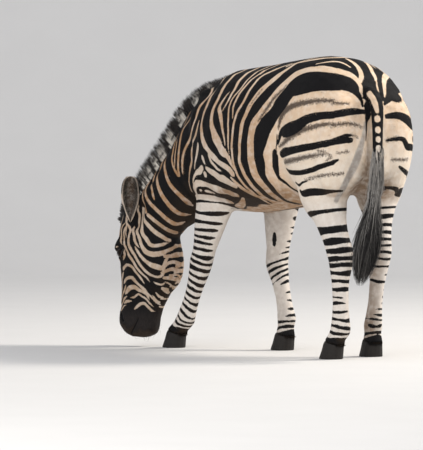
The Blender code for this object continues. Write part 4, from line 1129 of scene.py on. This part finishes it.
def eye_material():
    """A wet dark brown eye, a little lighter round the wide pupil."""
    paint = Paint("eye_gloss", 0.12, 0.06)
    paint.feed(paint.shader, {"Coat Weight": 0.02, "Coat Roughness": 0.03})
    colour = paint.mix(paint.kept("iris"), (0.004, 0.003, 0.003), (0.014, 0.007, 0.004))
    return paint.coloured(paint.mix(paint.times(paint.noise(500, 2), 0.3), colour, (0.012, 0.007, 0.004)))


def rim_material():
    """The dark bare skin of the eyelids' edges."""
    paint = Paint("lid_rim", 0.35)
    return paint.coloured(paint.mix(paint.noise(300, 3), (0.010, 0.009, 0.009), (0.030, 0.024, 0.022)))


# ---- Hair as solid locks --------------------------------------------------------------------
def locks(roots, ways, sides, lengths, widths, bends, rings=1):
    """The points and faces of many tapered locks, each a small closed spike bent over its way.

    Each lock starts at its root and points along its way; bends move its tip, sides set its flat.
    """
    count = len(roots)
    third = unit(np.cross(ways, sides))
    sides = np.cross(third, ways)
    points = np.empty((count, rings * CORNERS + 1, 3))
    for ring in range(rings):
        share = ring / rings
        middle = roots + ways * (lengths * share)[:, None] + bends * share ** 2
        size = widths * (1 - share ** 2 * 0.75) / 2
        for corner in range(CORNERS):
            turn = math.tau * corner / CORNERS
            points[:, ring * CORNERS + corner] = (
                middle + sides * (size * math.cos(turn))[:, None]
                + third * (size * math.sin(turn) * 0.5)[:, None])
    points[:, -1] = roots + ways * lengths[:, None] + bends
    return points.reshape(-1, 3), lock_faces(count, rings)


def lock_faces(count, rings):
    """The faces of locks with a number of rings and a tip each."""
    faces = []
    for ring in range(rings - 1):
        for corner in range(CORNERS):
            after = (corner + 1) % CORNERS
            low, high = ring * CORNERS, (ring + 1) * CORNERS
            faces += [(low + corner, low + after, high + after),
                      (low + corner, high + after, high + corner)]
    top, tip = (rings - 1) * CORNERS, rings * CORNERS
    faces += [(top + corner, top + (corner + 1) % CORNERS, tip) for corner in range(CORNERS)]
    faces.append((2, 1, 0))
    starts = np.arange(count) * (tip + 1)
    return (np.array(faces)[None] + starts[:, None, None]).reshape(-1, 3)


def put_lock_unwrap(mesh, roots_uv, rings=1):
    """Unwraps each lock as a small patch at its root's place on the skin's unwrap."""
    patch = np.array([(0, 0), (0.003, 0), (0.0015, 0.003)])
    faces = 2 * CORNERS * (rings - 1) + CORNERS + 1
    put_unwrap(mesh, (roots_uv[:, None, None] + patch[None, None]).repeat(faces, 1))


def hair_piece(name, locks_made, tone, roots_uv, rings):
    """A piece of long hair, toned at each of its vertices."""
    mesh = new_mesh(name, *locks_made)
    put_values(mesh, "tone", tone)
    put_lock_unwrap(mesh, roots_uv, rings)
    return new_piece(name, mesh, HAIR)


class Spots:
    """Random spots on the skin, closest together where a weight is high."""

    def __init__(self, skin, count, weight):
        corner = skin.points[skin.faces]
        sides = corner[:, 1] - corner[:, 0], corner[:, 2] - corner[:, 0]
        chance = np.linalg.norm(np.cross(*sides), axis=1) * weight[skin.faces].mean(1)
        chosen = rng.choice(len(skin.faces), count, p=chance / chance.sum())
        share = rng.random((count, 2))
        share = np.where(share.sum(1, keepdims=True) > 1, 1 - share, share)
        self.corners = skin.faces[chosen]
        self.share = np.column_stack([1 - share.sum(1), share])
        self.flat = (skin.uv[chosen] * self.share[:, :, None]).sum(1)
        self.places = self.read(skin.points)
        self.normals = unit(self.read(skin.normals))

    def read(self, values):
        """A value of the skin at the spots."""
        share = self.share if values.ndim == 1 else self.share[:, :, None]
        return (values[self.corners] * share).sum(1)


# ---- The pieces -----------------------------------------------------------------------------
class Skin:
    """The striped skin: its shape and the values kept at its vertices."""

    def __init__(self):
        self.obj = fused_flesh()
        self.mesh = self.obj.data
        relax(self.mesh, SKIN_SMOOTHINGS)
        divide_head(self.mesh)
        shaded_smooth(self.mesh)
        self.labels = nearest_flesh(points_of(self.mesh))
        depth = spread(self.mesh, COAT_DEPTH[self.labels], 8)
        put_points(self.mesh, points_of(self.mesh) - normals_of(self.mesh) * depth[:, None])
        with edited(self.mesh) as shape:
            bmesh.ops.triangulate(shape, faces=shape.faces)
        self.faces = numbers_of(self.mesh.polygons, "vertices", 3, np.int32)
        points = sculpted(points_of(self.mesh), normals_of(self.mesh), self.faces, self.labels)
        put_points(self.mesh, lidded(points))
        self.points = points_of(self.mesh)
        self.normals = normals_of(self.mesh)
        self.lie = lie_of_coat(self.points, self.normals, self.labels, self.mesh)
        self.lie_x = rise(abs(self.lie[:, 0]), 0.5, 0.8)
        self.mark_body()
        self.mark_face()
        for name in KEPT:
            put_values(self.mesh, name, getattr(self, name))
        self.uv = unwrapped(self.points, self.faces, self.labels)
        put_unwrap(self.mesh, self.uv)

    def mark_body(self):
        """The stripes, and the colours of the light and the dark hair."""
        mark, brown = stripes(self.points, self.faces, self.labels)
        self.mark, self.brown = mark / CM, brown / CM
        self.pale = pale_colour(self.points, self.normals, self.labels, self.mesh)
        tree = skin_tree(self.points, self.faces, self.labels != TAIL)
        # Painted shade: the grey strip along the left buttock's edge, mixed into the light hair.
        shade_strip = rise(depth_in(self.points, cast(tree, BUTTOCK_SHADE_STRIP, "rear")), -0.004, 0.003)
        self.pale += (np.array(SHADE_STRIP_GREY) - self.pale) * shade_strip[:, None]
        belly = rise(-self.normals[:, 2], 0.1, 0.7) * fall(self.points[:, 2], 0.66, 0.76)
        self.dark = np.array((0.012, 0.010, 0.009)) + belly[:, None] * np.array((0.08, 0.045, 0.02))

    def mark_face(self):
        """The dark muzzle, painted shade in the nostrils and along the mouth's line, and the dark rims
        round the eyes.
        """
        face = self.labels == HEAD
        z = self.points[:, 2]
        self.mark = np.maximum(self.mark, np.where(face, (MUZZLE_TOP - z) / CM, NOWHERE))
        self.dark += (face * fall(z, 0.11, 0.19))[:, None] * np.array(MUZZLE_BROWN)
        tree = skin_tree(self.points, self.faces, face)
        # Painted shade: the dark hair is darkened further in the nostrils and along the mouth.
        pit_shade = rise(depth_in(self.points, cast(tree, SHADED_PITS, *BOTH_CHEEKS)), -0.003, 0.001)
        self.dark *= (1 - 0.95 * pit_shade)[:, None]
        for side in EYES:
            near, off, place = eye_places(self.points, side, 2, 0)
            self.mark[near] = np.maximum(self.mark[near], (EYE_RIM - place) * EYE_TALL / CM)


def coat(skin, name, count, weight, length, width, lift):
    """Small tufts that lie along the skin and carry its marks."""
    spots = Spots(skin, count, weight)
    normals = spots.normals
    ways = unit(spots.read(skin.lie) + rng.normal(0, 0.16, (count, 3)))
    ways = flattened(ways, normals)
    lengths = length * rng.uniform(0.7, 1.25, count)
    bends = normals * (lift * rng.uniform(0.4, 1.0, count))[:, None]
    widths = width * rng.uniform(0.7, 1.2, count)
    points, faces = locks(spots.places - normals * ROOTED, ways, np.cross(normals, ways), lengths,
                          widths, bends)
    mesh = new_mesh(name, points, faces)
    for key in KEPT:
        value = spots.read(getattr(skin, key))
        if key == "pale":
            value = value * rng.uniform(0.90, 1.10, (count, 1))
        put_values(mesh, key, value.repeat(CORNERS + 1, 0))
    put_lock_unwrap(mesh, spots.flat)
    new_piece(name, mesh, COAT)


def crest_ways(roots, normals):
    """The way that the mane stands: away from the neck, in the neck's own upright plane."""
    along = unit(NECK_LINE)
    ways = np.tile(unit(np.array((0, 0, 1.0)) - along * along[2]), (len(roots), 1))
    on_poll = fall(roots[:, 2], 0.56, 0.66)
    ways = unit(ways * (1 - 0.6 * on_poll)[:, None] + AHEAD * 1.1 * on_poll[:, None])
    return unit(ways + normals * 0.10)


def mane_tips(tree, roots, ways):
    """Where the locks of the mane end: on the top of its solid, a little aside for those beside it."""
    tips = roots + ways * 0.03
    for number, (root, way) in enumerate(zip(roots, ways)):
        place, normal = tree.find_nearest(root)[:2]
        top = tree.ray_cast(place - normal * WITHIN + Vector(way) * OUTSIDE, -Vector(way))[0]
        if top is not None:
            tips[number] = top + (Vector(root) - place) * 0.35
    return tips


def mane(skin, count=5600, rings=5):
    """Stiff upright locks that fill the solid of the mane, light and dark in bands."""
    tree = solid_tree("mane")[0]
    weight = np.zeros(len(skin.points))
    low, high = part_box("mane")
    near = ((skin.points > np.array(low) - 0.03) & (skin.points < np.array(high) + 0.02)).all(1)
    for number in np.flatnonzero(near):
        gap = tree.find_nearest(skin.points[number])[3]
        weight[number] = gap < UNDER_MANE or (gap < MANE_FOOT) * 0.6
    spots = Spots(skin, count, weight)
    roots = spots.places
    runs = mane_tips(tree, roots, crest_ways(roots, spots.normals)) - roots
    lengths = np.linalg.norm(runs, axis=1) * rng.uniform(0.86, 1.0, count)
    ways = unit(runs + rng.normal(0, 0.0016, (count, 3)))
    bends = rng.normal(0, 0.002, (count, 3))
    made = locks(roots - ways * WITHIN, ways, np.cross(ways, (0.3, 1, 0.1)), lengths,
                 rng.uniform(0.0035, 0.006, count), bends, rings)
    light = np.full(count, float(NOWHERE))
    for x, z, width in MANE_LIGHT:
        gap = abs((roots[:, 0] / CM - x) * CREST[0] + (roots[:, 2] / CM - z) * CREST[1])
        light = np.maximum(light, 0.55 * width + rng.normal(0, 0.2, count) - gap)
    each = rings * CORNERS + 1
    share = np.tile(np.append(np.repeat(np.arange(rings) / rings, CORNERS), 1), count)
    amount = rise(light.repeat(each), -0.2, 0.2) * fall(share, 0.55, 0.80)
    brown = rise(share, 0.3, 0.9) * rng.uniform(0, 0.05, count).repeat(each)
    tone = np.array((0.010, 0.009, 0.009)) + brown[:, None] * np.array((1, 0.7, 0.5))
    tone += amount[:, None] * np.array((0.96, 0.90, 0.80))
    tone *= rng.uniform(0.7, 1.15, count).repeat(each)[:, None]
    obj = hair_piece("mane_locks", made, tone, spots.flat, rings)
    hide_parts("mane")


def tail_room(height):
    """The middle of the tail's solids at a height, and their half widths."""
    node = "tail" if height > TUFT_TOP else "tail_tuft"
    tree = solid_tree(node)[0]
    low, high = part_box(node)
    level = min(max(height, low.z + WITHIN), high.z - WITHIN)
    own = points_of(NODES[node].data)
    seed = own[abs(own[:, 2] - level) < 0.045].mean(0)
    centre = Vector((seed[0], seed[1], level))
    reach = []
    for way in ((1, 0, 0), (-1, 0, 0), (0, 1, 0), (0, -1, 0)):
        place = tree.ray_cast(centre + Vector(way) * OUTSIDE, -Vector(way))[0]
        reach.append(centre if place is None else place)
    ahead, behind, one, other = reach
    return ((ahead.x + behind.x) / 2, (one.y + other.y) / 2,
            abs(ahead.x - behind.x) / 2, abs(one.y - other.y) / 2)


def tail_strands(count=2500, rings=9):
    """Long strands that leave the sides of the tail and hang in the solid of the tuft."""
    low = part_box("tail_tuft")[0].z
    heights = np.concatenate([np.linspace(low, 0.66, 14), np.linspace(0.70, 0.90, 6)])
    rooms = [tail_room(height) for height in heights]
    # Where a strand hangs in the tail's room, as a share of it.
    spot = rng.uniform(0, math.tau, count)
    out = np.sqrt(rng.uniform(0.05, 1, count)) * 0.97
    spots = np.column_stack([np.cos(spot) * out, np.sin(spot) * out])
    # Half of the strands leave the sides of the tail above the tuft, and are shorter.
    high_up = rng.random(count) < 0.5
    top = np.where(high_up, 0.66 + 0.24 * rng.random(count) ** 1.8, rng.uniform(0.60, 0.70, count))
    drop = rng.uniform(0.12, 0.30, count)
    ragged = low + (1 - rng.uniform(0, 1, count) ** 0.55) * 0.24
    bottom = np.where(high_up, np.maximum(top - drop, low + 0.02), ragged)
    stray = 0.7 * rng.random(count) ** 3  # a few strands hang well outside the others
    points = np.empty((count, rings * CORNERS + 1, 3))
    for ring in range(rings + 1):
        share = ring / rings
        z = top + (bottom - top) * share
        room = interpolated(z, heights, rooms)
        wide = np.where(z > TAIL_END, 0.90 + 0.45 * min(share * 3, 1),
                        1.10 + 0.10 * rise(0.62 - z, 0, 0.1))
        loose = (wide * (0.8 + 0.2 * min(share * 5, 1)) * (1 + stray * share ** 2))[:, None]
        wave = np.column_stack([np.sin(share * 7 + spot * 3), np.cos(share * 6 + spot * 5)])
        flat = room[:, :2] + spots * room[:, 2:] * loose + wave * 0.0040 * share
        size = 0.0015 * (1 - 0.7 * share) * min(1, 0.15 + 4 * share) * (ring < rings)
        for corner in range(CORNERS if ring < rings else 1):
            turn = math.tau * corner / CORNERS
            aside = np.array((math.cos(turn), math.sin(turn))) * size
            points[:, ring * CORNERS + corner] = np.column_stack([flat + aside, z])
    grey = (rng.random(count) < 0.34 + 0.5 * rise(top, 0.66, 0.80)) * rng.uniform(0.3, 1, count)
    grey = grey[:, None] * (0.35 + 0.65 * rise(points[:, :, 2], 0.45, 0.72))
    tone = np.array((0.010, 0.010, 0.010)) + grey[:, :, None] * np.array((0.56, 0.53, 0.49))
    tile = np.column_stack([0.02 + 0.08 * spot / math.tau, 0.02 + 0.3 * (top - 0.6)])
    made = points.reshape(-1, 3), lock_faces(count, rings)
    obj = hair_piece("tail_strands", made, tone.reshape(-1, 3), tile, rings)
    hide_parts("tail_tuft")


def eye(side):
    """A glossy eyeball with a wide pupil."""
    name = "eye" + SIDE_NAMES[side]
    mesh = bpy.data.meshes.new(name + "_ball")
    with edited(mesh) as shape:
        bmesh.ops.create_uvsphere(shape, u_segments=48, v_segments=32, radius=EYE_RADIUS)
    points = points_of(shaded_smooth(mesh))
    x, y, z = points.T
    iris = rise(np.hypot(x / PUPIL[0], y / PUPIL[1]), 0.8, 1.1) * fall(np.hypot(x, y), 0.0125, 0.0145)
    put_values(mesh, "iris", np.where(z > 0, iris, 0))
    outward, slit, across = eye_axes(side)
    put_points(mesh, points @ np.array([slit, across, outward]) + EYES[side])
    obj = new_piece(name + "_ball", mesh, EYE)
    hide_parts(name)


def tube_faces(rows, each, closed=False):
    """The faces of a tube of rows of as many points each, joined end to end if it is closed."""
    return [(i * each + k, i * each + (k + 1) % each, (i + 1) % rows * each + (k + 1) % each,
             (i + 1) % rows * each + k) for i in range(rows if closed else rows - 1) for k in range(each)]


def ring_tube(path, radii, corners=8):
    """The points and faces of a closed ring of tube along a path that ends where it starts."""
    ways = unit(np.roll(path, -1, 0) - np.roll(path, 1, 0))
    third = unit(np.cross(ways, unit(path - path.mean(0))))
    outs = np.cross(third, ways)
    turns = (np.arange(corners) * math.tau / corners)[None, :, None]
    round_path = outs[:, None] * np.cos(turns) + third[:, None] * np.sin(turns)
    points = path[:, None] + radii[:, None, None] * round_path
    return points.reshape(-1, 3), tube_faces(len(path), corners, closed=True)


def eyelids(side, count=30):
    """The dark wet rims of the lids, and the lashes of the upper one."""
    name = "lids" + SIDE_NAMES[side]
    outward, slit, across = eye_axes(side)
    if across @ BROW < 0:
        across = -across

    def round_slit(turns, lift):
        """Places on the eyeball round the opening of the lids."""
        flat = np.cos(turns)[:, None] * slit * EYE_LONG + np.sin(turns)[:, None] * across * EYE_TALL
        height = np.sqrt(EYE_RADIUS ** 2 - (flat ** 2).sum(1))
        return EYES[side] + flat + outward * (height + lift)[:, None]

    turns = np.arange(64) * math.tau / 64
    rim = ring_tube(round_slit(turns, 0.0006), 0.0017 + 0.0009 * np.maximum(np.sin(turns), 0))
    roots = round_slit(np.linspace(0.12, 0.88, count) * math.pi, 0.0015)
    ways = unit(outward * 0.6 + across * 0.6 + NOSE * 0.5 + rng.normal(0, 0.1, (count, 3)))
    lashes = locks(roots, ways, np.tile(slit, (count, 1)), rng.uniform(0.004, 0.007, count),
                   np.full(count, 0.0008), np.tile(NOSE * 0.003, (count, 1)), rings=3)
    new_piece(name, new_mesh(name, *rim), RIM)
    new_piece(name + "_lashes", new_mesh(name + "_lashes", *lashes), RIM)


def ear_frame(side):
    """The root of an ear, the way that its opening looks, the way up and the way across it."""
    along, across, ahead = np.array(EAR_ROOT) * HEAD_LENGTH
    looks = unit(BROW * EAR_FACES[0] + LEFT * side * EAR_FACES[1])
    up = np.array((0, 0, 1.0))
    return on_head(along, side * across, ahead), looks, up, unit(np.cross(looks, up))


def ear_outline():
    """One ring of the ear: the turn, how far in, and the part (BACK, RIM or HOLLOW) of each point."""
    back = np.linspace(-EAR_ARC, EAR_ARC, 2 * EAR_STEPS + 1)
    rim = [(EAR_ARC + 0.09 * math.sin(way_in * math.pi), way_in, RIM_PART) for way_in in (0.2, 0.5, 0.8)]
    return ([(turn, 0.0, BACK_PART) for turn in back] + rim
            + [(turn, 1.0, HOLLOW_PART) for turn in back[::-1]]
            + [(-turn, way_in, part) for turn, way_in, part in rim[::-1]])


def ear(side):
    """One cupped ear with a rolled rim, dark bands on its back and grey hair inside."""
    name = "ear" + SIDE_NAMES[side]
    root, looks, up, over = ear_frame(side)
    rows = curve_through(EAR, lambda start, end: 6)
    outline = ear_outline()
    each = len(outline)
    points = []
    for share, half, ahead, deep, hollow in rows:
        middle = root + up * EAR_LENGTH * share + looks * ahead
        for turn, way_in, part in outline:
            wide = half - min(EAR_THICK, 0.5 * half) * way_in
            back_off = (math.cos(turn) - math.cos(EAR_ARC)) * (deep + (hollow - deep) * way_in)
            points.append(middle + over * math.sin(turn) * wide - looks * back_off)
    faces = tube_faces(len(rows), each)
    faces += [range(each)[::-1], range(len(points) - each, len(points))]
    mesh = new_mesh(name + "_cup", points, faces)
    with edited(mesh) as shape:
        bmesh.ops.recalc_face_normals(shape, faces=shape.faces)
    mark_ear(mesh, np.tile([part for turn, way_in, part in outline], len(rows)),
             rows[:, 0].repeat(each), np.tile(np.arange(each), len(rows)))
    unwrap_ear(mesh, each, len(rows))
    obj = new_piece(name + "_cup", mesh, COAT)
    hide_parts(name)
    ear_hair(side, rows)


def mark_ear(mesh, part, level, number):
    """Marks the dark bands of the back, the pale rim and the dark hollow.

    Each point has its part, its share of the ear's length and its number in its ring.
    """
    bands = np.maximum.reduce([np.minimum(level - low, high - level) for low, high in EAR_BANDS])
    edge = np.minimum(number - 2.0 * EAR_STEPS - 4, number.max() + 1 - 4.0 - number)
    hollow = part == HOLLOW_PART
    rim = (part == RIM_PART) | (hollow & (edge < PALE_EDGE))
    pale = np.where(rim[:, None], EAR_RIM, np.where(hollow[:, None], EAR_HOLLOW, EAR_BACK))
    put_values(mesh, "mark", np.where(part == BACK_PART, bands * 20, -0.5))
    put_values(mesh, "brown", np.where(hollow & ~rim, 0.1, -2.0))
    put_values(mesh, "pale", pale)
    put_values(mesh, "dark", np.tile((0.03, 0.024, 0.02), (len(part), 1)))
    put_values(mesh, "lie_x", np.zeros(len(part)))


def unwrap_ear(mesh, each, rows):
    """Unwraps a tube of rows of as many points each."""
    corners = numbers_of(mesh.loops, "vertex_index", 1, np.int32)[:, 0]
    across, up = corners % each / each, corners // each / rows
    for face in mesh.polygons:
        own = np.array(face.loop_indices)
        if np.ptp(across[own]) > 0.5:
            across[own] = np.where(across[own] < 0.5, across[own] + 1, across[own])
    put_unwrap(mesh, np.column_stack([across / 1.1, up]))


def ear_hair(side, rows, inner=1100, fringe=500):
    """Soft hair that fills the cup of an ear from its edges, and the pale fringe of its rim."""
    root, looks, up, over = ear_frame(side)
    count = inner + fringe
    on_rim = np.arange(count) < fringe
    share = rng.uniform(0.08, 0.95, count)
    edge = rng.choice([-1.0, 1.0], count)
    turn = np.where(on_rim, rng.uniform(0.90, 1.03, count), rng.uniform(0.3, 0.92, count))
    turn = edge * turn * EAR_ARC
    half, ahead, hollow = (np.interp(share, rows[:, 0], rows[:, i]) for i in (1, 2, 4))
    middle = root + up * EAR_LENGTH * share[:, None] + looks * ahead[:, None]
    wide = np.sin(turn) * (half - np.minimum(EAR_THICK, 0.5 * half))
    back_off = (np.cos(turn) - math.cos(EAR_ARC)) * hollow
    spots = middle + over * wide[:, None] - looks * back_off[:, None]
    inward = unit(middle - spots)
    ways = unit(inward * 0.75 + up * 0.75 + rng.normal(0, 0.25, (count, 3)))
    rim_ways = unit(looks * 0.7 + up * 0.8 - inward * 0.25 + rng.normal(0, 0.15, (count, 3)))
    ways = np.where(on_rim[:, None], rim_ways, ways)
    lengths = np.where(on_rim, 0.010, rng.uniform(0.25, 0.6, count) * np.clip(half, 0.012, 1))
    made = locks(spots, ways, np.tile(looks, (count, 1)), lengths,
                 rng.uniform(0.0012, 0.0022, count), np.tile(up * 0.003, (count, 1)), rings=3)
    light = np.where(on_rim, rng.uniform(0.8, 1.2, count), rng.uniform(0, 1, count) ** 2)
    tone = np.array((0.014, 0.012, 0.011)) + light[:, None] * np.array((0.52, 0.45, 0.38))
    tile = np.column_stack([turn / math.tau + 0.5, share])
    hair_piece("ear_hair" + SIDE_NAMES[side], made, tone.repeat(3 * CORNERS + 1, 0), tile, 3)


def hoof(name):
    """A hoof of smooth dark horn from its solid."""
    obj = new_object(name + "_horn", NODES[name].data.copy())
    obj.data.materials.clear()
    refine(obj, HOOF_VOXEL)
    relax(obj.data, 5)
    shaded_smooth(obj.data).materials.append(HORN)
    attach(obj, "root")
    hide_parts(name)


# ---- The whole ------------------------------------------------------------------------------
COAT = coat_material()
HAIR = hair_material()
HORN = horn_material()
EYE = eye_material()
RIM = rim_material()


def zebra():
    """The skin with its coat, and then the mane, the tail's hair, the eyes, ears and hooves."""
    skin = Skin()
    skin.mesh.materials.clear()
    skin.mesh.materials.append(COAT)
    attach(skin.obj, "root")
    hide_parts(*FLESH)
    skin.obj.name = "striped_skin"
    coats(skin)
    mane(skin)
    tail_strands()
    for side in EYES:
        eye(side)
        eyelids(side)
        ear(side)
    for name in NODES:
        if name.startswith("hoof"):
            hoof(name)


def coats(skin):
    """The tufts of each part of the body, with their number, length, width and lift."""
    x, y, z = skin.points.T
    body = spread(skin.mesh, skin.labels != HEAD, 6)
    legs = spread(skin.mesh, np.isin(skin.labels, LEGS), 6)
    trunk = body * (1 - legs)
    for part, share in (("fore_left", (x < 0) & (y < 0)), ("fore_right", (x < 0) & (y >= 0)),
                        ("hind_left", (x >= 0) & (y < 0)), ("hind_right", (x >= 0) & (y >= 0))):
        coat(skin, "tufts_" + part, 42000, trunk * share, 0.012, 0.0013, 0.0008)
    coat(skin, "tufts_legs", 44000, legs, 0.009, 0.0013, 0.0009)
    coat(skin, "tufts_face", 40000, 1 - body, 0.006, 0.0010, 0.0008)
    coat(skin, "tufts_coronet", 6000, legs * fall(z, 0.062, 0.075), 0.020, 0.0020, 0.0030)
    whiskered = (skin.labels == HEAD) * fall(z, 0.085, 0.115)
    coat(skin, "whiskers", 70, whiskered, 0.030, 0.0007, 0.020)


# ---- The studio -----------------------------------------------------------------------------
CAMERA_TURN = math.radians(52)  # how far behind the zebra's left side the camera stands
CAMERA_RISE = math.radians(2)
CAMERA_DISTANCE = 24
CAMERA_AIM = (-0.2485, -0.1378, 0.53)


def floor():
    """A pale floor that curves up into a wall behind the zebra."""
    paint = Paint("pale_floor", 0.9)
    colour = paint.mix(paint.noise(3, 4), (0.70, 0.69, 0.67), (0.74, 0.73, 0.71))
    radius, reach, half, near_end, top = 5, 7, 25, -60, 25
    line = [(near_end, 0)] + [(reach + radius * math.sin(turn), radius * (1 - math.cos(turn)))
                              for turn in np.linspace(0, math.pi / 2, 24)] + [(reach + radius, top)]
    away = np.array((-math.sin(CAMERA_TURN), math.cos(CAMERA_TURN), 0))
    beside = np.array((away[1], -away[0], 0))
    up = np.array((0, 0, 1))
    points = [away * a + up * b + beside * side for a, b in line for side in (-half, half)]
    faces = [(2 * i, 2 * i + 1, 2 * i + 3, 2 * i + 2) for i in range(len(line) - 1)]
    plane = new_object("floor", new_mesh("floor", points, faces))
    plane.data.materials.append(paint.coloured(colour))


def stand(obj, place, way):
    """Puts a lamp or the camera at a place, looking along a way."""
    obj.location = place
    obj.rotation_euler = way.to_track_quat("-Z", "Y").to_euler()


def lamp(name, place, aim, size, power, colour):
    light = bpy.data.lights.new(name, "AREA")
    light.size = size
    light.energy = power
    light.color = colour
    stand(new_object(name, light), place, Vector(aim) - Vector(place))


def studio():
    """The pale floor, a pale sky, a warm key light and a soft fill."""
    floor()
    world = bpy.data.worlds.new("studio")
    bpy.context.scene.world = world
    world.use_nodes = True
    sky = world.node_tree.nodes["Background"].inputs
    sky["Color"].default_value = (0.92, 0.94, 1, 1)
    sky["Strength"].default_value = 0.75
    lamp("key", (2.4, 4.2, 5), (0, 0, 0.7), 1.8, 420, (1, 0.94, 0.86))
    lamp("fill", (3.5, -6, 3), (0, 0, 0.6), 4, 150, (1, 0.98, 0.95))
    bpy.context.scene.view_settings.view_transform = "Standard"


def camera():
    """The long lens that sees the zebra from behind its left side."""
    level = math.cos(CAMERA_RISE)
    back = Vector((math.sin(CAMERA_TURN) * level, -math.cos(CAMERA_TURN) * level, math.sin(CAMERA_RISE)))
    lens = bpy.data.cameras.new("camera")
    lens.lens = 455
    lens.clip_end = 200
    obj = new_object("camera", lens)
    stand(obj, Vector(CAMERA_AIM) + back * CAMERA_DISTANCE, -back)
    bpy.context.scene.camera = obj


zebra()
studio()
camera()
